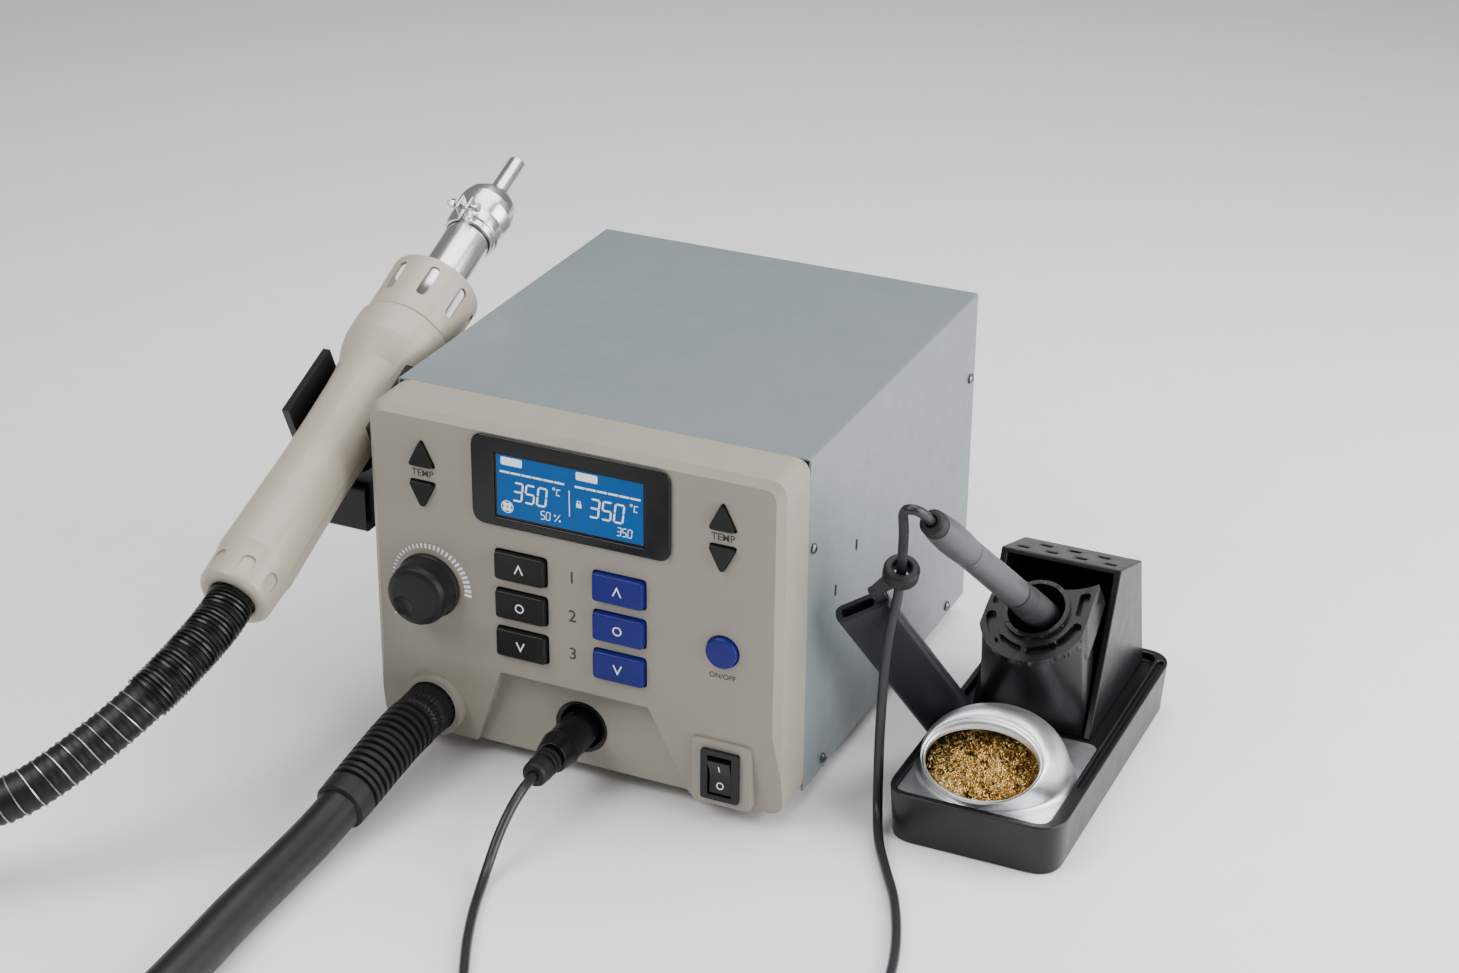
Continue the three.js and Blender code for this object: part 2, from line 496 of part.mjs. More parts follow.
// ---------- hot-air hose ----------
piece("hose_coupling", pipe(14.2, 9, 33, 56, [HOSE_PORT.x, 0, HOSE_PORT.z], [0, -1, 0], 24), BLACK, cords);

// A plain round tube along hand-placed points.
function tubeAlong(points, r, sides, steps) {
  const path = new THREE.CatmullRomCurve3(points.map(vec), false, "centripetal");
  const section = new THREE.Shape(
    Array.from({ length: sides }, (_, i) => {
      const a = (i * 2 * Math.PI) / sides;
      return new THREE.Vector2(r * Math.cos(a), r * Math.sin(a));
    }),
  );
  return solid(new THREE.ExtrudeGeometry(section, { steps, bevelEnabled: false, extrudePath: path }));
}

// From the panel along the table, round a wide loop, and up into the gun's tail.
const HOSE_ROUTE = [
  [34, -56.8, 30.4], [34, -66, 30.2], [33.8, -78, 28.8], [33.2, -98, 25], [32, -122, 19.5], [31, -150, 14.5], [30.5, -185, 12.2],
  [31.5, -228, 12.1], [34, -270, 12.1], [35.5, -310, 12.1], [34.5, -348, 12.1], [27, -385, 12.1], [7, -417.6, 12.1],
  [-24.8, -439, 12.1], [-62.5, -446.5, 12.1], [-100.2, -439, 12.1], [-131.5, -417.6, 12.1], [-152, -385.7, 12.8],
  [-159.5, -348, 15.5], [-154, -312, 22], [-139, -281, 32], [-116, -256, 43.5],
  [-88, -234, 55], [-67, -203, 71], [-51, -176, 88], [-41.5, -149, 102.6], [-38, -128, 111.9], [-38, -113.95, 117.85],
];
piece("hot_air_hose", tubeAlong(HOSE_ROUTE, HOSE_R, 10, 50), RUBBER, cords);

// ---------- iron lead: plug, tube to a coil on the table, coil, tube to the iron ----------
function ironPlug() {
  const body = [[0, 14], [10.5, 14], [10.5, 48], [11, 48], [9, 60], [7.5, 60.2]];
  const relief = [[7.2, 78], [6, 80], [0, 80]];
  return turned([...body, ...relief], [SOCKET.x, 0, SOCKET.z], [0, -1, 0], 20);
}
piece("iron_plug", ironPlug(), BLACK, cords);

const COIL = { x: 240, y: -240, r: 30, reach: 6.2, top: 11.2 };
const LEAD_FROM_PLUG = [
  [121, -80.4, 33], [121, -92, 31.6], [120.2, -104, 26], [119.6, -117, 16.5], [121, -131, 7.4], [125, -147, 3.3],
  [133, -170, 3.1], [146, -200, 3.1], [163, -231, 3.1], [186, -257, 3.1], [213, -269.6, 3.1],
];
const LEAD_TO_IRON = [
  [273.4, -261.3, 7], [286, -256.5, 4.4], [300, -249, 3.1], [321, -232, 3.1], [337.5, -208, 3.1], [345.5, -180, 3.1],
  [346, -151, 3.1], [341.5, -122, 3.1], [333, -94, 3.1], [320, -64, 3.1], [306, -40, 3.1], [293, -17, 3.6], [285, 1, 9], [281.6, 9, 26], [281, 11, 60], [282.6, 11, 98],
  [284.8, 11, 118], [287.6, 11, 133], [289.4, 10.4, 149.6], [292, 4.5, 166], [296.6, -5, 181], [301.4, -14, 193],
  [305.6, -18.6, 199.6], [308.4, -16.4, 199.8], [309.9, -10.4, 194.3], [310.69, -6.95, 191.15],
];
piece("iron_lead_plug_end", tubeAlong(LEAD_FROM_PLUG, LEAD_R, 8, 22), RUBBER, cords);
piece("iron_lead_iron_end", tubeAlong(LEAD_TO_IRON, LEAD_R, 8, 52), RUBBER, cords);

function leadCoil() {
  const { x, y, r, reach, top } = COIL;
  return turned([[r - reach, 0.1], [r + reach, 0.1], [r + reach, top], [r - reach, top], [r - reach, 0.1]], [x, y, 0], [0, 0, 1], 24);
}
piece("iron_lead_coil", leadCoil(), RUBBER, cords);

// ---------- soldering iron ----------
const onIron = (profile, sides) => turned(profile, HOLDER.centre, IRON_AXIS, sides);
piece("iron_handle", onIron([[0, 31], [7.6, 31], [8.2, 32], [8.1, 60], [8, 100], [8.4, 106], [8.6, 120], [7.8, 136], [5.6, IRON_LENGTH], [0, IRON_LENGTH]], 22), IRON_GREY);
piece("iron_grip", onIron([[3.9, -14], [6.4, -14], [8.4, -10], [9.2, -4], [8.6, 6], [8.3, 24], [8.4, 30.6], [3.9, 30.6], [3.9, -14]], 22), GRIP);
piece("iron_tip", onIron([[0, 30], [3.4, 30], [3.4, -40], [2.8, -44], [2.2, -52], [0.6, -72], [0, -72]], 14), STEEL);

// ---------- iron stand ----------
function baseOutline(inset) {
  const w = BASE.x1 - BASE.x0 - 2 * inset;
  const d = BASE.y1 - BASE.y0 - 2 * inset;
  return roundedRect(w, d, BASE.radius - inset, (BASE.x0 + BASE.x1) / 2, (BASE.y0 + BASE.y1) / 2);
}

function standBase() {
  const skirt = alongZ(baseOutline(1.5), 0, BASE.rim - 8, 6);
  const body = join(skirt, alongZ(baseOutline(0), BASE.rim - 8.5, BASE.rim, 6));
  const floor = alongZ(roundedRect(85.6, 198.4, 8, 337.8, 94), BASE.floor, BASE.rim + 1, 4);
  const groove = alongZ(roundedRect(3.2, 150, 1.4, 384.4, 112), BASE.rim - 3, BASE.rim + 1, 2);
  const well = rod(35, 5, BASE.rim, [DOME.x, DOME.y, 0], [0, 0, 1], 28);
  return cut(body, floor, groove, well);
}
piece("stand_base", standBase(), BLACK);

function wireWool() {
  const profile = [[0, 5.4], [30, 5.4], [33.5, 12], [33.5, 24.6], [36, 28], [36, 32], [31, 40], [20, 45.5], [8, 48], [0, 48.5]];
  return turned(profile, [DOME.x, DOME.y, 0], [0, 0, 1], 18);
}
piece("brass_wool", wireWool(), BRASS);

// One rib of the hood at an angle round it: from the plate up, over and down to the sloping mouth.
function hoodRib(angle, inset) {
  const [c, s] = [Math.cos(angle), Math.sin(angle)];
  const slope = THREE.MathUtils.degToRad(MOUTH.slope);
  const back = (1 + s) / 2; // 0 at the front, 1 at the back
  const foot = vec([DOME.x + (DOME.r - inset) * c, DOME.y + (DOME.r - inset) * s, DOME.z - 1]);
  const along = (MOUTH.along - inset) * s;
  const lip = vec([MOUTH.x + (MOUTH.across - inset) * c, MOUTH.y + along * Math.cos(slope), MOUTH.z + along * Math.sin(slope)]);
  const rise = 4 + 29 * back - inset * back;
  const bulge = 3 + 17 * back - inset;
  const wall = foot.clone().add(vec([0, 0, rise]));
  const brow = lip.clone().add(vec([c, 5 * s - bulge * Math.sin(slope), bulge * Math.cos(slope)]));
  return new THREE.CubicBezierCurve3(foot, wall, brow, lip).getPoints(9);
}

// A closed skin over rings of points: every ring closed, and the rings closed on each other.
function ringSkin(rings) {
  const [n, m] = [rings.length, rings[0].length];
  const index = [];
  for (let i = 0; i < n; i++)
    for (let j = 0; j < m; j++) {
      const [a, b] = [i * m + j, i * m + ((j + 1) % m)];
      const [c, d] = [((i + 1) % n) * m + j, ((i + 1) % n) * m + ((j + 1) % m)];
      index.push(a, c, b, b, c, d);
    }
  const positions = rings.flat().flatMap((p) => p.toArray());
  const g = new THREE.BufferGeometry().setAttribute("position", new THREE.Float32BufferAttribute(positions, 3));
  return solid(g.setIndex(index));
}

// Silver cover: a plate with a domed hood whose mouth slopes down to the front.
function woolCover() {
  const plate = alongZ(roundedRect(84.6, 91, 9, 337.7, 41.3), BASE.floor + GAP, BASE.floor + 2, 3);
  const ribs = Array.from({ length: 32 }, (_, i) => {
    const angle = (i * Math.PI) / 16;
    return [...hoodRib(angle, 0), ...hoodRib(angle, DOME.wall).reverse()];
  });
  const armCorner = box(290, 309, 66, 90, 20, 32);
  const throat = rod(DOME.r - DOME.wall, 10, BASE.floor + 3, [DOME.x, DOME.y, 0], [0, 0, 1], 32);
  return join(cut(plate, armCorner, throat), ringSkin(ribs));
}
piece("wool_cover", woolCover(), STEEL);

const TOWER = { x0: 303.5, x1: 372.5, wall: 4 };
const TOWER_SIDE = [[92.6, BASE.floor + GAP], [131, 112], [172, 99], [191.4, BASE.floor + GAP]];

// Tip rack: two side walls, a back and a sloping top with slots for spare bits.
function tipRack() {
  const hollow = [[60, 20], [188.8, 20], [169.5, 96.6], [60, 131.3]];
  const body = cut(alongX(polygon(TOWER_SIDE), TOWER.x0, TOWER.x1), alongX(polygon(hollow), TOWER.x0 + TOWER.wall, TOWER.x1 - TOWER.wall));
  const slot = (x, y) => box(x - 3.2, x + 3.2, y - 2.7, y + 2.7, 85, 130);
  const front = [312.5, 329, 346, 363].map((x) => slot(x, 142));
  const back = [321, 337.5, 354.5].map((x) => slot(x, 158));
  return cut(body, ...front, ...back);
}
piece("tip_rack", tipRack(), BLACK);

// The holder's own frame: X across it, Y up its slope, Z out of its face.
function holderMatrix() {
  const out = vec(HOLDER.axis).normalize();
  const upSlope = new THREE.Vector3().crossVectors(out, new THREE.Vector3(1, 0, 0)).normalize();
  const across = new THREE.Vector3().crossVectors(upSlope, out);
  return new THREE.Matrix4().makeBasis(across, upSlope, out).setPosition(...HOLDER.centre);
}
const onHolder = (geometry) => solid(geometry.applyMatrix4(holderMatrix()));

// Outline of the face: round below, straight sides, and a horn at each upper corner.
function holderOutline(inset) {
  const [side, r] = [HOLDER.half - inset, HOLDER.radius - inset];
  const corner = Math.acos(side / r);
  const shape = new THREE.Shape();
  shape.moveTo(side - 1, 22.4 - inset).lineTo(side, 0);
  shape.absarc(0, 0, r, -corner, corner - Math.PI, true);
  shape.lineTo(-side, 0).lineTo(1 - side, 22.4 - inset);
  shape.quadraticCurveTo(-18, 16.5 - inset, -9, 15.6 - inset).lineTo(9, 15.6 - inset);
  return shape.quadraticCurveTo(18, 16.5 - inset, side - 1, 22.4 - inset).closePath();
}

// A slot with round ends, bent round the axis between two angles in degrees.
function bentSlot(from, to, r, half) {
  const [a, b] = [from, to].map(THREE.MathUtils.degToRad);
  const shape = new THREE.Shape().absarc(0, 0, r + half, a, b, false);
  shape.absarc(r * Math.cos(b), r * Math.sin(b), half, b, b + Math.PI, false);
  shape.absarc(0, 0, r - half, b, a, true);
  return shape.absarc(r * Math.cos(a), r * Math.sin(a), half, a + Math.PI, a + 2 * Math.PI, false);
}

// Iron holder: a slotted face with two horns, a raised collar and a foot down to the base.
function ironHolder() {
  const { centre, axis, bore } = HOLDER;
  const at = (r, h0, h1, sides) => rod(r, h0, h1, centre, axis, sides);
  const ring = (r, n) => Array.from({ length: n }, (_, i) => [r * Math.cos((i * 2 * Math.PI) / n), r * Math.sin((i * 2 * Math.PI) / n)]);
  const top = ring(28, 24).map(([x, y]) => new THREE.Vector3(x, Math.min(y, 16), -4).applyMatrix4(holderMatrix()));
  const bottom = [[309, 94], [367, 94], [309, 106], [367, 106]].map(([x, y]) => vec([x, y, BASE.floor + GAP]));
  const foot = solid(new ConvexGeometry([...top, ...bottom]));
  const sideWall = (x0, x1) => alongX(polygon([[90.6, 20], [130, 114], [200, 114], [200, 20]]), x0, x1);
  const face = onHolder(extrude(holderOutline(0), 5, 8).translate(0, 0, -5));
  const skirt = cut(onHolder(extrude(holderOutline(0), 18, 8).translate(0, 0, -18)), onHolder(extrude(holderOutline(2.6), 30, 8).translate(0, 0, -25)));
  const arcs = [-42, -81, -126, -165].map((a) => bentSlot(a, a + 27, 25.9, 2.9));
  const hornSlots = [-1, 1].map((side) => roundedPolygon([[side * 22.4, -0.5], [side * 27.4, -0.5], [side * 25.8, 17.5], [side * 20.8, 16]], 2));
  const slots = [...arcs, ...hornSlots].map((shape) => onHolder(extrude(shape, 5, 3).translate(0, 0, -3.4)));
  const tunnel = at(bore, -80, 5, 22);
  const ironWay = rod(13.5, -90, 0, centre, IRON_AXIS, 20);
  const body = cut(join(foot, skirt), sideWall(295, 308.2), sideWall(367.8, 380));
  return cut(join(body, face, at(18.5, -1, 3, 28)), tunnel, ironWay, ...slots);
}
piece("iron_holder", ironHolder(), BLACK);

// Flat hollow arm that carries the lead, with a foot on the base and a closed loop at its top.
function leadArm() {
  const foot = vec(ARM.foot);
  const up = vec(ARM.top).sub(foot);
  const length = up.length();
  up.normalize();
  const wide = vec(ARM.wide).addScaledVector(up, -vec(ARM.wide).dot(up)).normalize();
  const thin = new THREE.Vector3().crossVectors(up, wide);
  const place = new THREE.Matrix4().makeBasis(wide, thin, up).setPosition(foot);
  const put = (g) => solid(g.applyMatrix4(place));
  const sleeve = put(extrude(roundedRect(ARM.w, ARM.t, 4.5), length + 12, 3).translate(0, 0, -12));
  const mouth = put(extrude(roundedRect(19, 5.6, 2.4, -2.5, 0), 14, 2).translate(0, 0, length - 10));
  const strap = put(extrude(roundedRect(7, 4.5, 1.5, 11, 0), 18, 2).translate(0, 0, length - 8));
  const loopAt = [289.4, 10.4, 149.6];
  const ring = pipe(9, 5.2, -4, 4, loopAt, [0.25, -0.35, 0.9], 16);
  const hole = rod(5.2, -12, 12, loopAt, [0.25, -0.35, 0.9], 16);
  const strapEnd = new THREE.Vector3(11, 0, length + 8).applyMatrix4(place).toArray();
  const neck = solid(new ConvexGeometry([...corners(loopAt, 3.4), ...corners(strapEnd, 2.2)]));
  const clearBase = box(BASE.x0 - GAP, 420, -40, 240, -1, BASE.rim + GAP);
  return cut(join(sleeve, strap, ring, cut(neck, hole)), mouth, clearBase);
}

// The eight corners of a small cube, for blended necks.
function corners([x, y, z], half) {
  const signs = [-1, 1];
  return signs.flatMap((i) => signs.flatMap((j) => signs.map((k) => vec([x + i * half, y + j * half, z + k * half]))));
}
piece("lead_arm", leadArm(), IRON_GREY);

// ---------- the part ----------
const part = new THREE.Group();
part.add(model, cords);
part.position.set(-ORIGIN[0], -ORIGIN[1], -ORIGIN[2]);

export default part;
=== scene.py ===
"""Looks of the rework station: control unit, hot-air gun in its cradle, soldering iron in its stand.

Positions below are millimetres, measured from the front left corner of the case, down on the table:
x to the right, y to the back, z up. The bezel stands in front of the case, so its y is below 0.
"""

import json
import math
import random

import bmesh
import bpy
from mathutils import Matrix, Vector

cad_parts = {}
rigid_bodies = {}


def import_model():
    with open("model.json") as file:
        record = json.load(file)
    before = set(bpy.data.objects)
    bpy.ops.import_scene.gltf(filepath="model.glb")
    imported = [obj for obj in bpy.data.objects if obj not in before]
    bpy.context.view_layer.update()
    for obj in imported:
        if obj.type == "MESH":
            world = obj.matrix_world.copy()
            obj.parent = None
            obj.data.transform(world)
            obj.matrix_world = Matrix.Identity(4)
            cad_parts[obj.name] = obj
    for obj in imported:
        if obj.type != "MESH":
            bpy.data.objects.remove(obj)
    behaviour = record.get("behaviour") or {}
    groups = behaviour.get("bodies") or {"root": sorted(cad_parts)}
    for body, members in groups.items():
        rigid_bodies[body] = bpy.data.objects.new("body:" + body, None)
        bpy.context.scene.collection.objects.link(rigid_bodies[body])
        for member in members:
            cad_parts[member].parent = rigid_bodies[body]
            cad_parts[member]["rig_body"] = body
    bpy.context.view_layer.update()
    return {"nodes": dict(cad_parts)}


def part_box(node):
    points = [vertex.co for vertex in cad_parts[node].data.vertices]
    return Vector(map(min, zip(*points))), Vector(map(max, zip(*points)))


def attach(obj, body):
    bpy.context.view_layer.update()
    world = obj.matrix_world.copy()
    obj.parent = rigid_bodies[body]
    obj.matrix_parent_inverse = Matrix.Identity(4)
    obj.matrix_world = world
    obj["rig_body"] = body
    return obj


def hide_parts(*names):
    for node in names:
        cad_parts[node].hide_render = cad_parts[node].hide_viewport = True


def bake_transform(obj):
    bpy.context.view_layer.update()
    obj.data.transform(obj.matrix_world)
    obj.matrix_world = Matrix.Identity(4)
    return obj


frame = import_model()
NODES = frame["nodes"]
SCENE = bpy.context.scene

# ---------- places and sizes ----------
ORIGIN = Vector((161.0, 65.8, 0.0))
STATION, GUN, IRON, PLUG = "station", "gun", "iron", "plug"

PANEL_Y = -34.0
CASE_W = 242.0
LCD = {"x0": 78.8, "x1": 164.2, "z0": 158.1, "z1": 193.4}
KNOB = Vector((35.0, PANEL_Y, 105.8))
HOSE_PORT = Vector((34.0, 0.0, 30.4))
SOCKET = Vector((121.0, 0.0, 33.0))
ROCKER = Vector((208.8, -30.0, 31.0))
ROCKER_TILT = math.radians(8)
KEY_ROWS = {"up": 128.6, "middle": 105.4, "down": 82.2}
KEY_COLUMNS = {"black": 91.7, "blue": 149.7}
KEY_FRONT = PANEL_Y - 3.5

GUN_TAIL = Vector((-38.0, -113.6, 118.0))
GUN_RISE = math.radians(23.3)
GUN_DIR = Vector((0, math.cos(GUN_RISE), math.sin(GUN_RISE)))
GUN_UP = Vector((0, -math.sin(GUN_RISE), math.cos(GUN_RISE)))

HOLDER = Vector((336.5, 97.8, 95.0))
HOLDER_AXIS = Vector((-0.11, -0.518, 0.848)).normalized()
IRON_AXIS = Vector((-0.1786, -0.7249, 0.6653)).normalized()
DOME = Vector((338.0, 37.0, 27.0))
DOME_R, DOME_WALL = 40.0, 1.4
MOUTH = Vector((337.7, 13.0, 45.2))
MOUTH_ACROSS, MOUTH_ALONG, MOUTH_SLOPE = 32.0, 23.0, math.radians(27)
LOOP = Vector((289.4, 10.4, 149.6))
LOOP_AXIS = Vector((0.25, -0.35, 0.9)).normalized()


def metres(p):
    """A point in millimetres as a point of the row frame in metres."""
    return (Vector(p) - ORIGIN) / 1000.0


# ---------- camera ----------
def set_camera():
    azimuth, elevation, roll = (math.radians(a) for a in (24.113, 25.966, 0.6208))
    back = Vector(
        (
            math.sin(azimuth) * math.cos(elevation),
            -math.cos(azimuth) * math.cos(elevation),
            math.sin(elevation),
        )
    )
    level = Vector((math.cos(azimuth), math.sin(azimuth), 0))
    upright = back.cross(level)
    right = level * math.cos(roll) + upright * math.sin(roll)
    up = upright * math.cos(roll) - level * math.sin(roll)
    camera = bpy.data.objects.new("camera", bpy.data.cameras.new("camera"))
    camera.data.sensor_width = 36.0
    camera.data.lens = 70.0
    camera.data.clip_end = 20.0
    turn = Matrix((right, up, back)).transposed().to_4x4()
    camera.matrix_world = Matrix.Translation(metres((736.33, -1205.40, 826.79))) @ turn
    SCENE.collection.objects.link(camera)
    SCENE.camera = camera


set_camera()


# ---------- materials ----------
def new_material(name):
    material = bpy.data.materials.new(name)
    material.use_nodes = True
    shader = material.node_tree.nodes["Principled BSDF"]
    return material, material.node_tree, shader


def noise(tree, scale, detail=4.0, stretch=(1, 1, 1)):
    """A noise texture in the piece's own space; scale is features per metre."""
    where = tree.nodes.new("ShaderNodeTexCoord")
    mapping = tree.nodes.new("ShaderNodeMapping")
    mapping.inputs["Scale"].default_value = stretch
    tree.links.new(where.outputs["Object"], mapping.inputs["Vector"])
    texture = tree.nodes.new("ShaderNodeTexNoise")
    texture.inputs["Scale"].default_value = scale
    texture.inputs["Detail"].default_value = detail
    tree.links.new(mapping.outputs["Vector"], texture.inputs["Vector"])
    return texture.outputs["Fac"]


def spread(tree, value, low, high):
    """The noise value turned into a number between low and high."""
    node = tree.nodes.new("ShaderNodeMapRange")
    node.inputs["From Min"].default_value = 0.3
    node.inputs["From Max"].default_value = 0.7
    node.inputs["To Min"].default_value = low
    node.inputs["To Max"].default_value = high
    tree.links.new(value, node.inputs["Value"])
    return node.outputs["Result"]


def tint(tree, value, dark, light):
    ramp = tree.nodes.new("ShaderNodeValToRGB")
    ramp.color_ramp.elements[0].position = 0.3
    ramp.color_ramp.elements[1].position = 0.7
    ramp.color_ramp.elements[0].color = (*dark, 1)
    ramp.color_ramp.elements[1].color = (*light, 1)
    tree.links.new(value, ramp.inputs["Fac"])
    return ramp.outputs["Color"]


def surface(
    name, color, rough, metal=0.0, vary=0.05, grain=(0.02, 2500), stretch=(1, 1, 1), coat=0.0, shine=0.5
):
    """A moulded, painted or machined surface: uneven tone, uneven gloss and a fine grain."""
    material, tree, shader = new_material(name)
    dark = tuple(c * (1 - vary) for c in color)
    light = tuple(min(c * (1 + vary), 1) for c in color)
    tree.links.new(tint(tree, noise(tree, 35, 5, stretch), dark, light), shader.inputs["Base Color"])
    gloss = spread(tree, noise(tree, 90, 6, stretch), rough * 0.88, min(rough * 1.12, 1))
    tree.links.new(gloss, shader.inputs["Roughness"])
    shader.inputs["Metallic"].default_value = metal
    shader.inputs["Specular IOR Level"].default_value = shine
    shader.inputs["Coat Weight"].default_value = coat
    shader.inputs["Coat Roughness"].default_value = 0.12
    strength, scale = grain
    bump = tree.nodes.new("ShaderNodeBump")
    bump.inputs["Strength"].default_value = strength
    bump.inputs["Distance"].default_value = 0.0004
    tree.links.new(noise(tree, scale, 3, stretch), bump.inputs["Height"])
    tree.links.new(bump.outputs["Normal"], shader.inputs["Normal"])
    return material


def glow(name, color, strength):
    """A lit part of the display."""
    material, tree, shader = new_material(name)
    dark = tuple(c * 0.9 for c in color)
    lit = tint(tree, noise(tree, 25, 2), dark, color)
    tree.links.new(lit, shader.inputs["Emission Color"])
    shader.inputs["Base Color"].default_value = (*(c * 0.25 for c in color), 1)
    shader.inputs["Emission Strength"].default_value = strength
    shader.inputs["Specular IOR Level"].default_value = 0.15
    shader.inputs["Roughness"].default_value = 0.25
    return material


BEZEL = surface("bezel_plastic", (0.270, 0.247, 0.205), 0.48, vary=0.02, grain=(0.12, 3200))
CASE_PAINT = surface("case_paint", (0.152, 0.180, 0.192), 0.42, vary=0.02, grain=(0.16, 2600), coat=0.1)
STEEL = surface("steel", (0.62, 0.62, 0.62), 0.28, 1.0, vary=0.04, grain=(0.05, 900), stretch=(1, 8, 1))
TUBE_STEEL = surface(
    "tube_steel", (0.72, 0.71, 0.70), 0.24, 1.0, vary=0.08, grain=(0.06, 500), stretch=(6, 1, 1)
)
COVER_STEEL = surface(
    "cover_steel", (0.68, 0.69, 0.70), 0.36, 1.0, vary=0.04, grain=(0.08, 700), stretch=(1, 12, 1)
)
SCREW_STEEL = surface("screw_steel", (0.16, 0.165, 0.17), 0.35, 1.0, vary=0.1)
BLACK = surface("black_plastic", (0.006, 0.0062, 0.007), 0.38, vary=0.12, grain=(0.12, 3000), shine=0.3)
STAND_BLACK = surface("stand_black", (0.007, 0.0072, 0.008), 0.33, vary=0.1, grain=(0.10, 3500), shine=0.34)
GLOSS_BLACK = surface("gloss_black", (0.005, 0.0052, 0.006), 0.2, vary=0.08, grain=(0.01, 900), shine=0.3)
RUBBER = surface("rubber", (0.007, 0.0074, 0.008), 0.5, vary=0.15, grain=(0.2, 1800), shine=0.3)
HOSE_RUBBER = surface(
    "hose_rubber", (0.006, 0.0065, 0.007), 0.42, vary=0.15, grain=(0.25, 1200), shine=0.32,
)
LEAD_RUBBER = surface("lead_rubber", (0.014, 0.016, 0.018), 0.33, vary=0.1, grain=(0.1, 1500), shine=0.4)
WIRE = surface("spring_wire", (0.45, 0.45, 0.46), 0.3, 1.0, vary=0.08)
GUARD_BLACK = surface("guard_black", (0.006, 0.0065, 0.007), 0.3, vary=0.1, grain=(0.05, 1500), shine=0.35)
BLACK_KEY = surface("black_key", (0.005, 0.0053, 0.006), 0.33, vary=0.12, grain=(0.08, 2600), shine=0.25)
BLUE_KEY = surface("blue_key", (0.006, 0.008, 0.145), 0.33, vary=0.06, grain=(0.08, 2600), shine=0.25)
GUN_PLASTIC = surface("gun_plastic", (0.385, 0.345, 0.278), 0.38, vary=0.02, grain=(0.06, 2600), coat=0.15)
IRON_PLASTIC = surface("iron_plastic", (0.050, 0.053, 0.056), 0.42, vary=0.05, grain=(0.15, 3000))
ARM_PLASTIC = surface("arm_plastic", (0.014, 0.0165, 0.019), 0.42, vary=0.08, grain=(0.12, 3000), shine=0.3)
GRIP = surface("grip", (0.018, 0.019, 0.021), 0.6, vary=0.12, grain=(0.25, 1600))
BRASS = surface("brass_wool", (0.88, 0.66, 0.28), 0.2, 1.0, vary=0.12, grain=(0.05, 900))
BOARD = surface("circuit_board", (0.02, 0.16, 0.06), 0.4, vary=0.15, grain=(0.1, 900), coat=0.3)
WINDING = surface("winding", (0.30, 0.12, 0.04), 0.4, 0.4, vary=0.2, grain=(0.5, 700), stretch=(1, 1, 20))
CERAMIC = surface("ceramic", (0.70, 0.64, 0.54), 0.7, vary=0.08, grain=(0.2, 900))
PRINT_DARK = surface("print_dark", (0.03, 0.03, 0.032), 0.5, vary=0.05)
PRINT_WHITE = surface("print_white", (0.85, 0.86, 0.87), 0.5, vary=0.03)
PRINT_SCALE = surface("print_scale", (0.86, 0.88, 0.90), 0.5, vary=0.03)
LCD_BLUE = glow("lcd_blue", (0.003, 0.10, 0.36), 0.72)
LCD_WHITE = glow("lcd_white", (0.9, 0.95, 1.0), 0.9)
FLOOR = surface("floor", (0.86, 0.86, 0.86), 0.7, vary=0.01, grain=(0.02, 300))


# ---------- meshes ----------
def add_object(name, mesh):
    obj = bpy.data.objects.new(name, mesh)
    SCENE.collection.objects.link(obj)
    return obj


def mesh_object(name, points, faces, merge=True):
    """Points in millimetres. Doubled points are merged and the faces turned outwards."""
    mesh = bpy.data.meshes.new(name)
    mesh.from_pydata([metres(p) for p in points], [], faces)
    bm = bmesh.new()
    bm.from_mesh(mesh)
    if merge:
        bmesh.ops.remove_doubles(bm, verts=bm.verts, dist=1e-6)
        bmesh.ops.dissolve_degenerate(bm, dist=1e-7, edges=bm.edges)
    bmesh.ops.recalc_face_normals(bm, faces=bm.faces)
    bm.to_mesh(mesh)
    bm.free()
    return add_object(name, mesh)


def shade(obj, angle=35.0):
    obj.data.shade_smooth()
    obj.data.set_sharp_from_angle(angle=math.radians(angle))


def bevel(obj, width, segments=3, angle=30.0):
    """Rounds the edges sharper than angle; width in millimetres."""
    modifier = obj.modifiers.new("round", "BEVEL")
    modifier.width = width / 1000.0
    modifier.segments = segments
    modifier.limit_method = "ANGLE"
    modifier.angle_limit = math.radians(angle)
    obj.data.shade_smooth()
    weights = obj.modifiers.new("weights", "WEIGHTED_NORMAL")
    weights.keep_sharp = True
    weights.weight = 100
    return obj


def settle(obj):
    """Applies the modifiers, so that the mesh is what is seen."""
    graph = bpy.context.evaluated_depsgraph_get()
    mesh = bpy.data.meshes.new_from_object(obj.evaluated_get(graph))
    obj.modifiers.clear()
    obj.data = mesh
    return obj


def combine(obj, others, operation):
    for other in others:
        modifier = obj.modifiers.new("combine", "BOOLEAN")
        modifier.operation = operation
        modifier.solver = "EXACT"
        modifier.object = other
    settle(obj)
    for other in others:
        bpy.data.objects.remove(other)
    return obj


def carve(obj, *cutters):
    return combine(obj, cutters, "DIFFERENCE")


def weld(obj, *others):
    return combine(obj, others, "UNION")


def put(obj, material, body, node=None):
    """Gives a finished piece its look and its body, and hides the CAD nodes it stands for."""
    obj.data.materials.clear()
    for m in material if isinstance(material, tuple) else (material,):
        obj.data.materials.append(m)
    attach(obj, body)
    nodes = (node,) if isinstance(node, str) else tuple(node or ())
    if nodes:
        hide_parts(*nodes)
    return obj


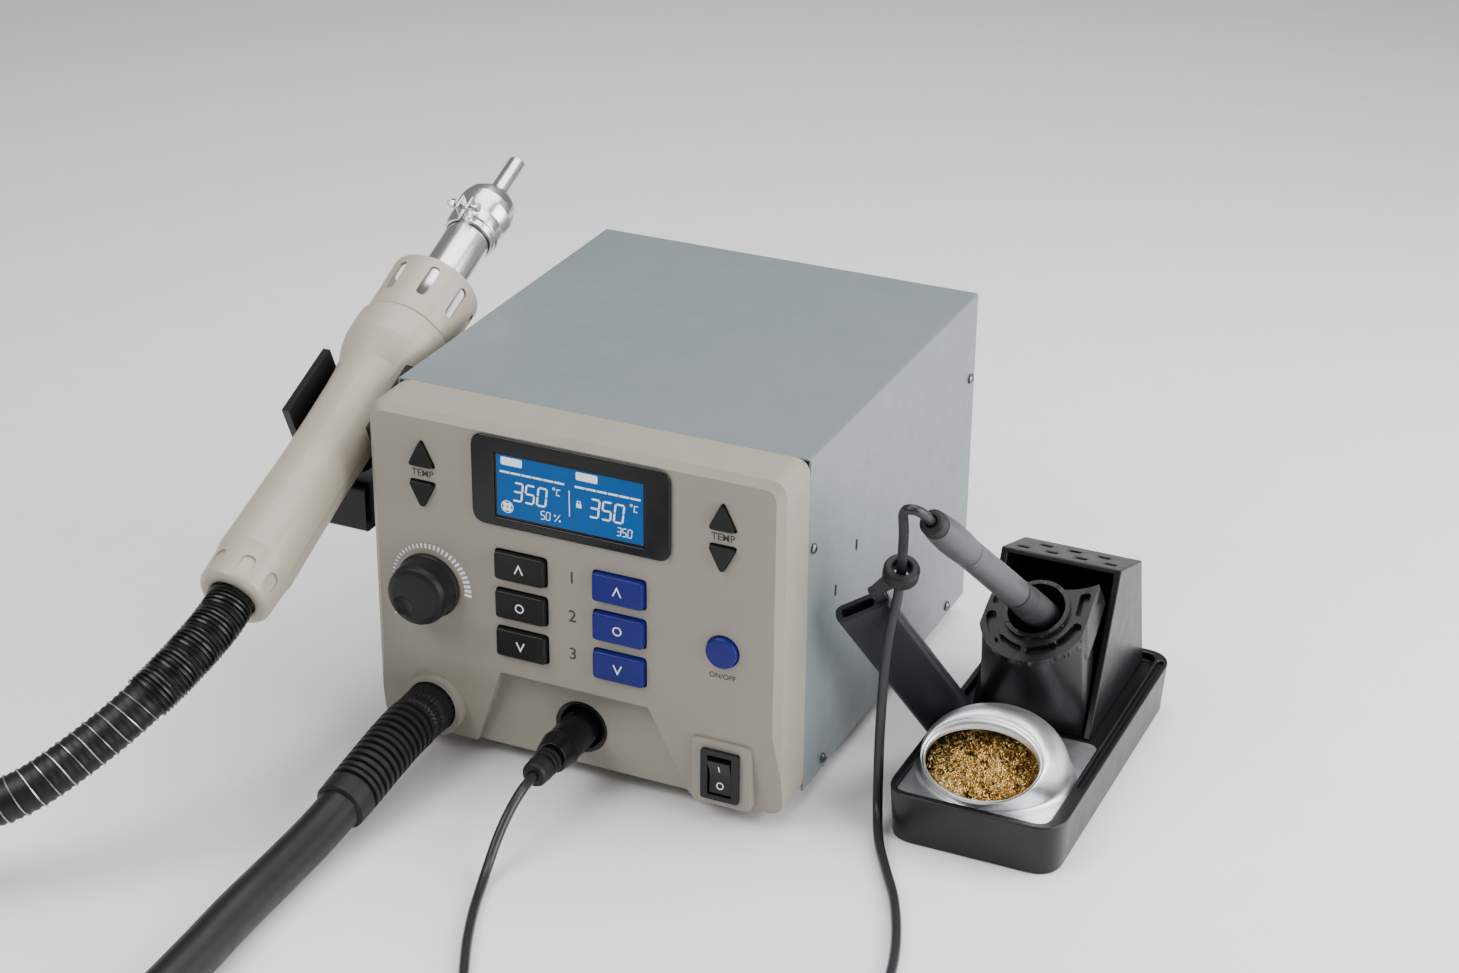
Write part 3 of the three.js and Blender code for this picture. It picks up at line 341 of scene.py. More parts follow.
def fillet(points, radius, steps=4, closed=False):
    """A 2D outline with its corners rounded."""
    n = len(points)
    made = []
    for i, p in enumerate(points):
        here = Vector(p)
        if not closed and i in (0, n - 1):
            made.append(tuple(here))
            continue
        before = Vector(points[i - 1]) - here
        after = Vector(points[(i + 1) % n]) - here
        if before.length < 1e-6 or after.length < 1e-6:
            continue
        opening = before.angle(after)
        if opening > math.radians(172):
            made.append(tuple(here))
            continue
        reach = min(radius / math.tan(opening / 2), before.length * 0.48, after.length * 0.48)
        start = here + before.normalized() * reach
        end = here + after.normalized() * reach
        for k in range(steps + 1):
            t = k / steps
            made.append(tuple(start * (1 - t) ** 2 + here * 2 * t * (1 - t) + end * t * t))
    return made


def rectangle(w, h, radius, cx=0.0, cy=0.0, steps=8):
    corners = [(cx + sx * w / 2, cy + sy * h / 2) for sx, sy in ((-1, -1), (1, -1), (1, 1), (-1, 1))]
    return fillet(corners, radius, steps, closed=True)


def ring(radius, cx=0.0, cy=0.0, steps=48):
    angles = [2 * math.pi * k / steps for k in range(steps)]
    return [(cx + radius * math.cos(a), cy + radius * math.sin(a)) for a in angles]


BOX_FACES = [(0, 1, 3, 2), (4, 5, 7, 6), (0, 1, 5, 4), (2, 3, 7, 6), (0, 2, 6, 4), (1, 3, 7, 5)]


def prism_faces(n, base=0):
    """Two ends of n corners each and the sides between them; base is the first point's number."""
    ends = [tuple(range(base, base + n)), tuple(range(base + n, base + 2 * n))]
    return ends + [(base + k, base + (k + 1) % n, base + n + (k + 1) % n, base + n + k) for k in range(n)]


def tube_faces(rows, sides):
    """The wall between rows of points, each with the same number of sides."""
    faces = []
    for i in range(rows - 1):
        for k in range(sides):
            j = (k + 1) % sides
            faces.append((i * sides + k, i * sides + j, (i + 1) * sides + j, (i + 1) * sides + k))
    return faces


AXES = {
    "x": lambda u, v, w: (w, u, v),
    "y": lambda u, v, w: (u, w, v),
    "z": lambda u, v, w: (u, v, w),
}


def prism(name, outline, low, high, along="y", end_outline=None):
    """An outline pushed along an axis; end_outline gives the far end its own shape."""
    place = AXES[along]
    last = end_outline or outline
    points = [place(*p, low) for p in outline] + [place(*p, high) for p in last]
    return mesh_object(name, points, prism_faces(len(outline)))


def oriented(axis):
    """Three directions: across, across, along the axis."""
    along = Vector(axis).normalized()
    first = Vector((1, 0, 0))
    if abs(first.dot(along)) > 0.95:
        first = Vector((0, 1, 0))
    first = (first - along * first.dot(along)).normalized()
    return first, along.cross(first), along


def lathe(name, profile, origin, axis, steps=64, wave=None):
    """A turned piece: profile is (radius, distance along the axis)."""
    a, b, c = oriented(axis)
    points = []
    for radius, height in profile:
        for k in range(steps):
            t = 2 * math.pi * k / steps
            r = radius + (wave(t, height, radius) if wave else 0)
            points.append(Vector(origin) + c * height + a * (r * math.cos(t)) + b * (r * math.sin(t)))
    faces = tube_faces(len(profile), steps)
    if profile[0] != profile[-1]:
        for i in (0, len(profile) - 1):
            if profile[i][0] > 1e-6:
                faces.append(tuple(i * steps + k for k in range(steps)))
    return mesh_object(name, points, faces)


def spline(points, step=3.0):
    """Evenly spaced points along a smooth line through the given ones."""
    knots = [Vector(p) for p in points]
    knots = [knots[0] * 2 - knots[1]] + knots + [knots[-1] * 2 - knots[-2]]
    times = [0.0]
    for p, q in zip(knots, knots[1:]):
        times.append(times[-1] + max((q - p).length, 1e-6) ** 0.5)
    fine = []
    for i in range(1, len(knots) - 2):
        (t0, t1, t2, t3), (p0, p1, p2, p3) = times[i - 1 : i + 3], knots[i - 1 : i + 3]
        count = max(int((p2 - p1).length / 0.8), 4)
        for k in range(count):
            t = t1 + (t2 - t1) * k / count
            a1 = p0 * ((t1 - t) / (t1 - t0)) + p1 * ((t - t0) / (t1 - t0))
            a2 = p1 * ((t2 - t) / (t2 - t1)) + p2 * ((t - t1) / (t2 - t1))
            a3 = p2 * ((t3 - t) / (t3 - t2)) + p3 * ((t - t2) / (t3 - t2))
            b1 = a1 * ((t2 - t) / (t2 - t0)) + a2 * ((t - t0) / (t2 - t0))
            b2 = a2 * ((t3 - t) / (t3 - t1)) + a3 * ((t - t1) / (t3 - t1))
            fine.append(b1 * ((t2 - t) / (t2 - t1)) + b2 * ((t - t1) / (t2 - t1)))
    fine.append(knots[-2])
    return resample(fine, step)


def distances(line):
    """How far along the line each of its points is."""
    reach = [0.0]
    for p, q in zip(line, line[1:]):
        reach.append(reach[-1] + (q - p).length)
    return reach


def resample(line, step):
    reach = distances(line)
    count = max(int(round(reach[-1] / step)), 2)
    made, i = [], 0
    for k in range(count + 1):
        want = reach[-1] * k / count
        while i < len(reach) - 2 and reach[i + 1] < want:
            i += 1
        share = (want - reach[i]) / max(reach[i + 1] - reach[i], 1e-9)
        made.append(line[i].lerp(line[i + 1], min(max(share, 0), 1)))
    return made


def length_of(line):
    return sum((q - p).length for p, q in zip(line, line[1:]))


def frames(line):
    """A steady pair of cross directions at every point of a line."""
    tangents = []
    for i in range(len(line)):
        p, q = line[max(i - 1, 0)], line[min(i + 1, len(line) - 1)]
        tangents.append((q - p).normalized())
    side = oriented(tangents[0])[0]
    made = []
    for i, tangent in enumerate(tangents):
        if i:
            side = tangents[i - 1].rotation_difference(tangent) @ side
        side = (side - tangent * side.dot(tangent)).normalized()
        made.append((side, tangent.cross(side)))
    return made


def sweep(line, radius, sides):
    """Points and faces of a round tube; radius is a number or a function of the distance along it."""
    points = []
    run = 0.0
    for i, (p, (a, b)) in enumerate(zip(line, frames(line))):
        run += (p - line[i - 1]).length if i else 0
        r = radius(run) if callable(radius) else radius
        for k in range(sides):
            t = 2 * math.pi * k / sides
            points.append(p + a * (r * math.cos(t)) + b * (r * math.sin(t)))
    faces = tube_faces(len(line), sides)
    faces.append(tuple(range(sides)))
    faces.append(tuple((len(line) - 1) * sides + k for k in range(sides)))
    return points, faces


def helix(line, radius, start, stop, pitch, wire):
    """A wire wound round a line between two distances along it; pitch is a function of the distance."""
    cross = frames(line)
    run, turn, made = 0.0, 0.0, []
    for i in range(1, len(line)):
        piece = (line[i] - line[i - 1]).length
        for k in range(8):
            here = run + piece * k / 8
            turn += 2 * math.pi * piece / 8 / pitch(here)
            if start <= here <= stop:
                a = cross[i - 1][0].lerp(cross[i][0], k / 8).normalized()
                b = cross[i - 1][1].lerp(cross[i][1], k / 8).normalized()
                p = line[i - 1].lerp(line[i], k / 8)
                made.append(p + a * (radius * math.cos(turn)) + b * (radius * math.sin(turn)))
        run += piece
    return sweep(resample(made, 1.9), wire, 5)


def merged(*parts):
    """Several lists of points and faces as one."""
    points, faces = [], []
    for more_points, more_faces in parts:
        base = len(points)
        points += more_points
        faces += [tuple(base + k for k in face) for face in more_faces]
    return points, faces


def soften(node, material, width, segments, angle=32.0):
    """A CAD node with its flat faces merged and its edges rounded."""
    source = NODES[node]
    mesh = source.data.copy()
    bm = bmesh.new()
    bm.from_mesh(mesh)
    bmesh.ops.remove_doubles(bm, verts=bm.verts, dist=2e-6)
    bmesh.ops.dissolve_limit(bm, angle_limit=math.radians(1), verts=bm.verts, edges=bm.edges)
    bm.to_mesh(mesh)
    bm.free()
    mesh.name = node + "_look"
    obj = add_object(node + "_look", mesh)
    bevel(obj, width, segments, angle)
    return put(obj, material, source["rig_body"], node)


# ---------- cords ----------
HOSE_R = 12.0
HOSE_ROUTE = [
    (34, -56.8, 30.4), (34, -66, 30.2), (33.8, -78, 28.8), (33.2, -98, 25), (32, -122, 19.5),
    (31, -150, 14.5), (30.5, -185, 12.2), (31.5, -228, 12.1), (34, -270, 12.1), (35.5, -310, 12.1),
    (34.5, -348, 12.1), (27, -385, 12.1), (7, -417.6, 12.1), (-24.8, -439, 12.1), (-62.5, -446.5, 12.1),
    (-100.2, -439, 12.1), (-131.5, -417.6, 12.1), (-152, -385.7, 12.8), (-159.5, -348, 15.5),
    (-154, -312, 22), (-139, -281, 32), (-116, -256, 43.5), (-88, -234, 55), (-67, -203, 71),
    (-51, -176, 88), (-41.5, -149, 102.6), (-38, -128, 111.9), (-38, -113.4, 118.1),
]
LEAD_R = 2.7
COIL = Vector((240, -240, 0))
COIL_START = math.radians(-100)
COIL_LOW, COIL_HIGH = 3.1, 8.8  # heights of the two layers of turns
COIL_TURNS = 2.075
COIL_STEPS = 28  # points to a turn


def ease(value, low, high):
    share = min(max((value - low) / (high - low), 0), 1)
    return share * share * (3 - 2 * share)


def coil_route():
    """Turns of the spare lead on the table: a spiral inwards, then one outwards on top of it."""
    made = []
    for k in range(int(COIL_TURNS * COIL_STEPS) + 1):
        turn = k / COIL_STEPS
        angle = COIL_START + turn * 2 * math.pi
        reach = 33.4 - 5.6 * min(turn, 1.2) + 5.6 * max(turn - 1.4, 0)
        lift = COIL_LOW + (COIL_HIGH - COIL_LOW) * ease(turn, 1.2, 1.4)
        made.append((COIL.x + reach * math.cos(angle), COIL.y + reach * math.sin(angle), lift))
    return made


PLUG_ROUTE = [
    (121, -79.6, 33), (121, -92, 31.6), (120.2, -104, 26), (119.6, -117, 16.5), (121, -131, 7.4),
    (125, -147, 3.3), (133, -170, 3.1), (146, -200, 3.1), (163, -231, 3.1), (186, -257, 3.1),
    (213, -269.6, 3.1),
]
LEAD_END = (310.69, -6.95, 191.15)
IRON_ROUTE = [
    (262.5, -265.6, 8.9), (273.4, -261.3, 7.2), (286, -256.5, 4.5), (300, -249, 3.1), (321, -232, 3.1),
    (337.5, -208, 3.1), (345.5, -180, 3.1), (346, -151, 3.1), (341.5, -122, 3.1), (333, -94, 3.1),
    (320, -64, 3.1), (306, -40, 3.1), (293, -17, 3.6), (285, 1, 9), (281.6, 9, 26), (281, 11, 60),
    (282.6, 11, 98), (284.8, 11, 118), (287.6, 11, 133), (289.4, 10.4, 149.6), (292, 4.5, 166),
    (295.2, -4, 180.5), (296.8, -9.4, 189.4), (298.3, -13.8, 195.8), (301.4, -17.2, 200.4),
    (305.4, -17.6, 201.2), (308.5, -14.8, 198.8), (310.1, -10.6, 194.6), LEAD_END,
]


HOSE_LINE = spline(HOSE_ROUTE, 1.4)
HOSE_LENGTH = length_of(HOSE_LINE)
GUARD = 72.0  # length of the close dark spring at the gun
SPRING = 292.0  # how far from the gun the thin wire reaches


def hose_radius(run):
    """Fine ribs under the springs at the gun's end, and plain elsewhere."""
    if run > HOSE_LENGTH - SPRING:
        return HOSE_R - 0.35 + 0.35 * math.sin(run * 2 * math.pi / 4.2)
    return HOSE_R


HOSE_JOIN = Vector((-159.5, -348, 15.5))  # where the length fixed to the station meets the one that runs on to the gun
SPLIT = min(range(len(HOSE_LINE)), key=lambda i: (HOSE_LINE[i] - HOSE_JOIN).length)


def declare_hose(hose):
    shade(hose, 60)
    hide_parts("hot_air_hose")


def make_hose():
    """The hose in two lengths: one fixed to the station, and one that runs on to the gun.

    The second has a close dark spring at the gun and a thin wide one further down.
    """
    still, moving = HOSE_LINE[: SPLIT + 1], HOSE_LINE[SPLIT:]
    hose = mesh_object("hot_air_hose_station_side", *sweep(still, HOSE_R, 24), merge=False)
    hose.data.materials.append(HOSE_RUBBER)
    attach(hose, STATION)
    declare_hose(hose)
    passed = length_of(still)
    tube = sweep(moving, lambda run: hose_radius(run + passed), 24)
    end = HOSE_LENGTH - 1
    guard = helix(HOSE_LINE, HOSE_R + 0.5, HOSE_LENGTH - GUARD, end, lambda run: 2.4, 0.95)
    top = HOSE_LENGTH - GUARD
    spring = helix(HOSE_LINE, HOSE_R + 0.2, HOSE_LENGTH - SPRING, top, lambda run: 8.4, 0.42)
    points, faces = merged(tube, guard, spring)
    hose = mesh_object("hot_air_hose_gun_side", points, faces, merge=False)
    for material in (HOSE_RUBBER, GUARD_BLACK, WIRE):
        hose.data.materials.append(material)
    dark, thin = len(tube[1]), len(tube[1]) + len(guard[1])
    for i, polygon in enumerate(hose.data.polygons):
        polygon.material_index = 2 if i >= thin else (1 if i >= dark else 0)
    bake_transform(hose)
    declare_hose(hose)


def make_leads():
    plug_line = spline(PLUG_ROUTE + coil_route(), 1.6)
    points, faces = sweep(plug_line, LEAD_R, 14)
    lead = mesh_object("lead_plug_side", points, faces)
    shade(lead, 60)
    lead.data.materials.append(LEAD_RUBBER)
    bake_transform(lead)
    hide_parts("iron_lead_plug_end", "iron_lead_coil")
    start = coil_route()[-1]
    iron_line = spline([start] + IRON_ROUTE, 1.6)
    points, faces = sweep(iron_line, LEAD_R, 14)
    other = mesh_object("lead_iron_side", points, faces)
    shade(other, 60)
    other.data.materials.append(LEAD_RUBBER)
    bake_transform(other)
    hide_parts("iron_lead_iron_end")


make_hose()
make_leads()


# ---------- control unit ----------
PRINT_DEPTH = 0.06


def printed(name, quads, y, material, body=STATION):
    """Flat marks on a face that looks to the front; quads are lists of (x, z)."""
    points, faces = [], []
    for quad in quads:
        faces += prism_faces(len(quad), len(points))
        points += [(u, y, v) for u, v in quad] + [(u, y + PRINT_DEPTH, v) for u, v in quad]
    return put(mesh_object(name, points, faces), material, body)


def lettering(name, text, x, z, size, y, material):
    curve = bpy.data.curves.new(name, "FONT")
    curve.body = text
    curve.size = size / 1000
    curve.align_x = "CENTER"
    curve.align_y = "CENTER"
    curve.extrude = 0.00003
    curve.offset = 0.00008
    flat = add_object(name + "_flat", curve)
    graph = bpy.context.evaluated_depsgraph_get()
    mesh = bpy.data.meshes.new_from_object(flat.evaluated_get(graph))
    bpy.data.objects.remove(flat)
    mesh.transform(Matrix.Translation(metres((x, y, z))) @ Matrix.Rotation(math.pi / 2, 4, "X"))
    return put(add_object(name, mesh), material, STATION)


def stroke(points, width):
    """A polyline of one width as quads that meet edge to edge; closed when its ends are the same."""
    line = [Vector(p) for p in points]
    closed = (line[0] - line[-1]).length < 1e-9
    if closed:
        line.pop()
    n = len(line)
    rails = []
    for i, p in enumerate(line):
        before = (p - line[i - 1]).normalized() if i or closed else None
        after = (line[(i + 1) % n] - p).normalized() if i < n - 1 or closed else None
        first, second = before or after, after or before
        run = (first + second).normalized()
        side = Vector((-run.y, run.x)) * (width / 2 / max(run.dot(first), 0.4))
        if not closed and i in (0, n - 1):
            p = p + run * (width / 2 if i else -width / 2)
        rails.append((tuple(p - side), tuple(p + side)))
    last = n if closed else n - 1
    return [[rails[i][0], rails[(i + 1) % n][0], rails[(i + 1) % n][1], rails[i][1]] for i in range(last)]


def make_case():
    soften("case_cover", CASE_PAINT, 0.5, 3)
    soften("front_bezel", BEZEL, 1.0, 3, 30)
    soften("rear_panel", CASE_PAINT, 0.25, 1)
    soften("chassis_tray", STEEL, 0.25, 1)
    soften("power_inlet", BLACK, 0.4, 2)
    for i in range(1, 5):
        low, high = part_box("case_foot_%d" % i)
        centre = (low + high) / 2 * 1000 + ORIGIN
        profile = fillet([(0, 0), (6.6, 0), (7.4, 1.2), (8.6, 9.6), (0, 9.6)], 0.7)
        foot = lathe("case_foot_%d_look" % i, profile, (centre.x, centre.y, 0), (0, 0, 1), 48)
        shade(foot)
        put(foot, RUBBER, STATION, "case_foot_%d" % i)


def screw(name, at, axis, node=None):
    """A pan head with a cross recess."""
    radius = 3.0
    profile = fillet(
        [
            (0, -1.5), (1.3, -1.5), (1.3, 0), (radius, 0), (radius, 0.9), (radius * 0.6, 1.8),
            (0, 2.0),
        ],
        0.4,
    )
    head = lathe(name, profile, at, axis, 40)
    a, b, c = oriented(axis)
    top = Vector(at) + c * 1.5
    for turn in (a, b):
        other = c.cross(turn)
        corners = []
        for s, t, u in ((i, j, k) for i in (-1, 1) for j in (-1, 1) for k in (-1, 1)):
            corners.append(top + turn * (s * radius * 0.55) + other * (t * 0.36) + c * (0.9 * u))
        carve(head, mesh_object("cutter", corners, BOX_FACES))
    shade(head)
    return put(head, SCREW_STEEL, STATION, node)


SCREW_PLACES = [(5.7, 155), (242, 157), (26.4, 16.9), (219.4, 16.9)]


def make_screws():
    for i, (y, z) in enumerate(SCREW_PLACES):
        screw("cover_screw_%d_look" % (i + 1), (CASE_W + 0.2, y, z), (1, 0, 0), "cover_screw_%d" % (i + 1))
        screw("left_screw_%d" % (i + 1), (-0.2, y, z), (-1, 0, 0))


SLANT = 0.12  # how far the digits lean for each millimetre of height


def seven_segment(text, x, z, height, quads):
    """Digits of a liquid-crystal display, starting at x with their feet at z."""
    lit = {"0": "abcdef", "3": "abcdg", "5": "acdfg", "-": "g"}
    w, t = height * 0.48, height * 0.1
    half = height / 2
    spans = {
        "a": ((0, height), (w, height)), "g": ((0, half), (w, half)), "d": ((0, 0), (w, 0)),
        "f": ((0, half), (0, height)), "b": ((w, half), (w, height)),
        "e": ((0, 0), (0, half)), "c": ((w, 0), (w, half)),
    }
    for i, digit in enumerate(text):
        left = x + i * height * 0.68
        for name in lit[digit]:
            (x0, z0), (x1, z1) = spans[name]
            a, b = Vector((x0, z0)), Vector((x1, z1))
            run = (b - a).normalized()
            side = Vector((-run.y, run.x)) * t / 2
            a, b = a + run * t * 0.62, b - run * t * 0.62
            shape = [a - run * t / 2, a - side, b - side, b + run * t / 2, b + side, a + side]
            quads.append([(left + p.x + p.y * SLANT, z + p.y) for p in shape])


def make_display():
    frame_piece = prism(
        "display_frame_look", rectangle(116, 52, 8, 122, 177.5, 10), PANEL_Y - 2, PANEL_Y - 0.1,
    )
    middle = (LCD["x0"] + LCD["x1"]) / 2, (LCD["z0"] + LCD["z1"]) / 2
    wide, tall = LCD["x1"] - LCD["x0"], LCD["z1"] - LCD["z0"]
    window = prism("window", rectangle(wide + 2.5, tall + 2.5, 1.2, *middle), PANEL_Y - 3, PANEL_Y + 2)
    carve(frame_piece, window)
    bevel(frame_piece, 0.9, 3)
    put(frame_piece, GLOSS_BLACK, STATION, "display_frame")
    panel = prism("display_panel_look", rectangle(wide + 2.2, tall + 2.2, 0.8, *middle), PANEL_Y - 0.9, -27)
    shade(panel)
    put(panel, GLOSS_BLACK, STATION, "display_panel")
    face_y = PANEL_Y - 1.0
    lit = prism("display_backlight", rectangle(wide, tall, 0.4, *middle), face_y, PANEL_Y - 0.85)
    shade(lit)
    put(lit, LCD_BLUE, STATION)
    make_readout(face_y - 0.07)


READOUT = (  # text, place across and down the display, height of the digits
    ("350", 0.11, 0.71, 10.4),
    ("350", 0.635, 0.71, 10.4),
    ("50", 0.30, 0.92, 4.6),
    ("350", 0.82, 0.92, 4.6),
)


def make_readout(y):
    x0, z1 = LCD["x0"], LCD["z1"]
    wide, tall = LCD["x1"] - LCD["x0"], LCD["z1"] - LCD["z0"]

    def at(u, v):
        return x0 + u * wide, z1 - v * tall

    quads = []
    for u, count, v in ((0.03, 6, 0.27), (0.545, 6, 0.27)):
        for k in range(count):
            a, b = at(u + k * 0.075, v), at(u + k * 0.075 + 0.055, v)
            quads += stroke([a, b], 1.1)
    for u in (0.03, 0.545):
        x, z = at(u + 0.075, 0.09)
        quads.append(rectangle(12.5, 4.6, 0.8, x, z, 2))
    for text, u, v, height in READOUT:
        x, z = at(u, v)
        seven_segment(text, x, z, height, quads)
    for u in (0.395, 0.92):
        x, z = at(u, 0.41)
        circle = ring(0.65, x, z + 1.0, 12)
        quads += stroke(circle + circle[:1], 0.35)
        letter = [(x + 3.6, z + 0.9), (x + 1.9, z + 0.9), (x + 1.5, z - 2.4), (x + 3.2, z - 2.4)]
        quads += stroke(letter, 0.5)
    x, z = at(0.5, 0.36)
    quads += stroke([(x, z), (x, z - 14.5)], 0.45)
    x, z = at(0.07, 0.84)
    for k in range(4):
        angle = math.radians(45 + 90 * k)
        quads.append(ring(1.35, x + 1.75 * math.cos(angle), z + 1.75 * math.sin(angle), 10))
    quads += stroke(ring(3.4, x, z, 20) + ring(3.4, x, z, 20)[:1], 0.4)
    x, z = at(0.415, 0.86)
    quads += stroke([(x - 1.4, z - 1.9), (x + 1.6, z + 2.2)], 0.4)
    quads.append(ring(0.6, x - 1.3, z + 1.4, 8))
    quads.append(ring(0.6, x + 1.5, z - 1.2, 8))
    x, z = at(0.565, 0.55)
    quads.append(rectangle(3.0, 2.4, 0.3, x, z - 0.8, 2))
    quads += stroke([(x - 0.9, z + 0.3), (x - 0.9, z + 1.7), (x + 0.9, z + 1.7), (x + 0.9, z + 0.3)], 0.45)
    put(printed("display_readout", quads, y, LCD_WHITE), LCD_WHITE, STATION)


def key_symbol(row, x, z):
    if row == "up":
        return stroke([(x - 2.2, z - 2.2), (x, z + 2.4), (x + 2.2, z - 2.2)], 0.75)
    if row == "down":
        return stroke([(x - 2.2, z + 2.2), (x, z - 2.4), (x + 2.2, z + 2.2)], 0.75)
    circle = ring(2.3, x, z, 24)
    return stroke(circle + circle[:1], 0.7)


def make_keys():
    for colour, x in KEY_COLUMNS.items():
        for row, z in KEY_ROWS.items():
            node = colour + "_key_" + row
            material = BLUE_KEY if colour == "blue" else BLACK_KEY
            base = rectangle(30.5, 17.0, 2.6, x, z)
            key = prism(node + "_look", rectangle(29.7, 16.2, 2.4, x, z), KEY_FRONT, -28.5, "y", base)
            bevel(key, 1.0, 4)
            put(key, material, node, node)
            mark = printed(node + "_mark", key_symbol(row, x, z), KEY_FRONT - 0.04, PRINT_WHITE, node)
    for side, x in (("left", 33.4), ("right", 208.8)):
        for way, z, sign in (("up", 184.5, 1), ("down", 159.5, -1)):
            node = "arrow_key_%s_%s" % (side, way)
            corners = [(x - 8 * sign, z - 7.9 * sign), (x + 8 * sign, z - 7.9 * sign), (x, z + 7.9 * sign)]
            outline = fillet(corners, 1.9, 6, closed=True)
            key = prism(node + "_look", outline, PANEL_Y - 2.6, -28.5)
            bevel(key, 0.8, 4)
            put(key, BLACK_KEY, node, node)
    profile = fillet([(0, 0), (9, 0), (9, 7.6), (8.2, 8.5), (0, 8.9)], 0.7)
    key = lathe("round_key_look", profile, (209.2, -28.5, 105.8), (0, -1, 0), 72)
    shade(key)
    put(key, BLUE_KEY, "round_key", "round_key")


def make_print():
    y = PANEL_Y - 0.04
    for x in (33.4, 208.8):
        lettering("temp_label_%d" % x, "TEMP", x, 172.0, 5.6, y, PRINT_DARK)
    for digit, z in (("1", 129.0), ("2", 106.0), ("3", 83.3)):
        lettering("memory_number_" + digit, digit, 121.7, z, 10.0, y, PRINT_DARK)
    lettering("on_off_label", "ON/OFF", 209.2, 91.0, 4.2, y, PRINT_DARK)
    quads = []
    count = 30
    for k in range(count):
        share = k / (count - 1)
        angle = math.radians(186 - share * 190)
        inner, outer = 21.6, 22.9 + 2.9 * share
        half = math.radians(0.7 + 1.3 * share)
        low, high = angle - half, angle + half
        corners = ((inner, high), (outer, high), (outer, low), (inner, low))
        quads.append([(KNOB.x + r * math.cos(a), KNOB.z + r * math.sin(a)) for r, a in corners])
    printed("air_flow_scale", quads, y, PRINT_SCALE)


def make_knob():
    node = "air_flow_knob"
    rough = [
        (3.2, 0), (18.9, 0), (18.9, 2.2), (17.9, 2.6), (17.6, 13.2), (16.4, 16.2), (13.4, 17.0),
        (0, 17.2),
    ]
    knob = lathe(
        node + "_look", [(0, 6), (3.2, 6)] + fillet(rough, 0.9, 4), (KNOB.x, PANEL_Y - 0.35, KNOB.z),
        (0, -1, 0), 96,
    )
    bowl = lathe(
        "cutter", fillet([(0, -9), (6.4, -6.4), (9, 0), (6.4, 6.4), (0, 9)], 4, 6),
        (KNOB.x - 7, PANEL_Y - 23.3, KNOB.z - 7), (0, 1, 0), 40,
    )
    carve(knob, bowl)
    shade(knob, 30)
    put(knob, BLACK, "knob", node)
    pointer = printed(
        "air_flow_knob_pointer",
        stroke([(KNOB.x - 12.6, KNOB.z - 12.6), (KNOB.x - 11.2, KNOB.z - 11.2)], 0.5), PANEL_Y - 16.2,
        PRINT_WHITE, "knob",
    )


def make_ports():
    collar = lathe(
        "hose_collar_look",
        fillet([
            (12.6, -32.5), (15.0, -32.5), (15.0, -22), (17, -22), (17, -20.6), (14.8, -20.6),
            (14.8, -4), (12.6, -4), (12.6, -32.5),
        ], 0.4), HOSE_PORT, (0, 1, 0), 72,
    )
    shade(collar)
    put(collar, BLACK, STATION, "hose_collar")
    cup = lathe(
        "iron_socket_look",
        fillet([
            (0, -10.5), (11.8, -10.5), (11.8, -23.4), (12.8, -24.6), (15.3, -25.2),
            (15.3, -20.6), (18.4, -20.6), (18.4, -17), (15, -17), (15, -4), (0, -4),
        ], 0.5), SOCKET, (0, 1, 0), 80,
    )
    shade(cup)
    put(cup, GLOSS_BLACK, STATION, "iron_socket")

    def knurl(t, height, radius):
        return 0.28 * math.cos(36 * t) if 33.6 < height < 55 and radius > 13 else 0

    rings = [
        (9.2, 33), (14.0, 33), (14.4, 34.2), (14.4, 47.5), (13.6, 48.5), (13.6, 50), (14.4, 51),
        (14.4, 54.6), (13.2, 56), (9.2, 56), (9.2, 33),
    ]
    coupling = lathe("hose_coupling_look", rings, HOSE_PORT, (0, -1, 0), 216, knurl)
    shade(coupling, 50)
    put(coupling, BLACK, STATION, "hose_coupling")
    make_boot()


def make_boot():
    """The ribbed guard on the hose by the panel, which narrows to a plain collar."""
    ribs = []
    for k in range(13):
        low = 0.3 + k * 4.7
        out = 15.0 - 0.03 * k
        ribs += [(12.15, low), (out, low + 0.6), (out, low + 3.0), (12.6, low + 3.6)]
    ribs += [(12.6, 62), (14.6, 62.4), (14.2, 74), (12.15, 75)]
    line = spline(HOSE_ROUTE[:8], 0.6)
    cross = frames(line)
    reach = distances(line)
    points, steps = [], 48
    for radius, height in ribs:
        i = min(range(len(reach)), key=lambda k: abs(reach[k] - height))
        a, b = cross[i]
        for k in range(steps):
            t = 2 * math.pi * k / steps
            points.append(line[i] + a * (radius * math.cos(t)) + b * (radius * math.sin(t)))
    boot = mesh_object("hose_boot", points, tube_faces(len(ribs), steps))
    shade(boot, 40)
    put(boot, RUBBER, STATION)


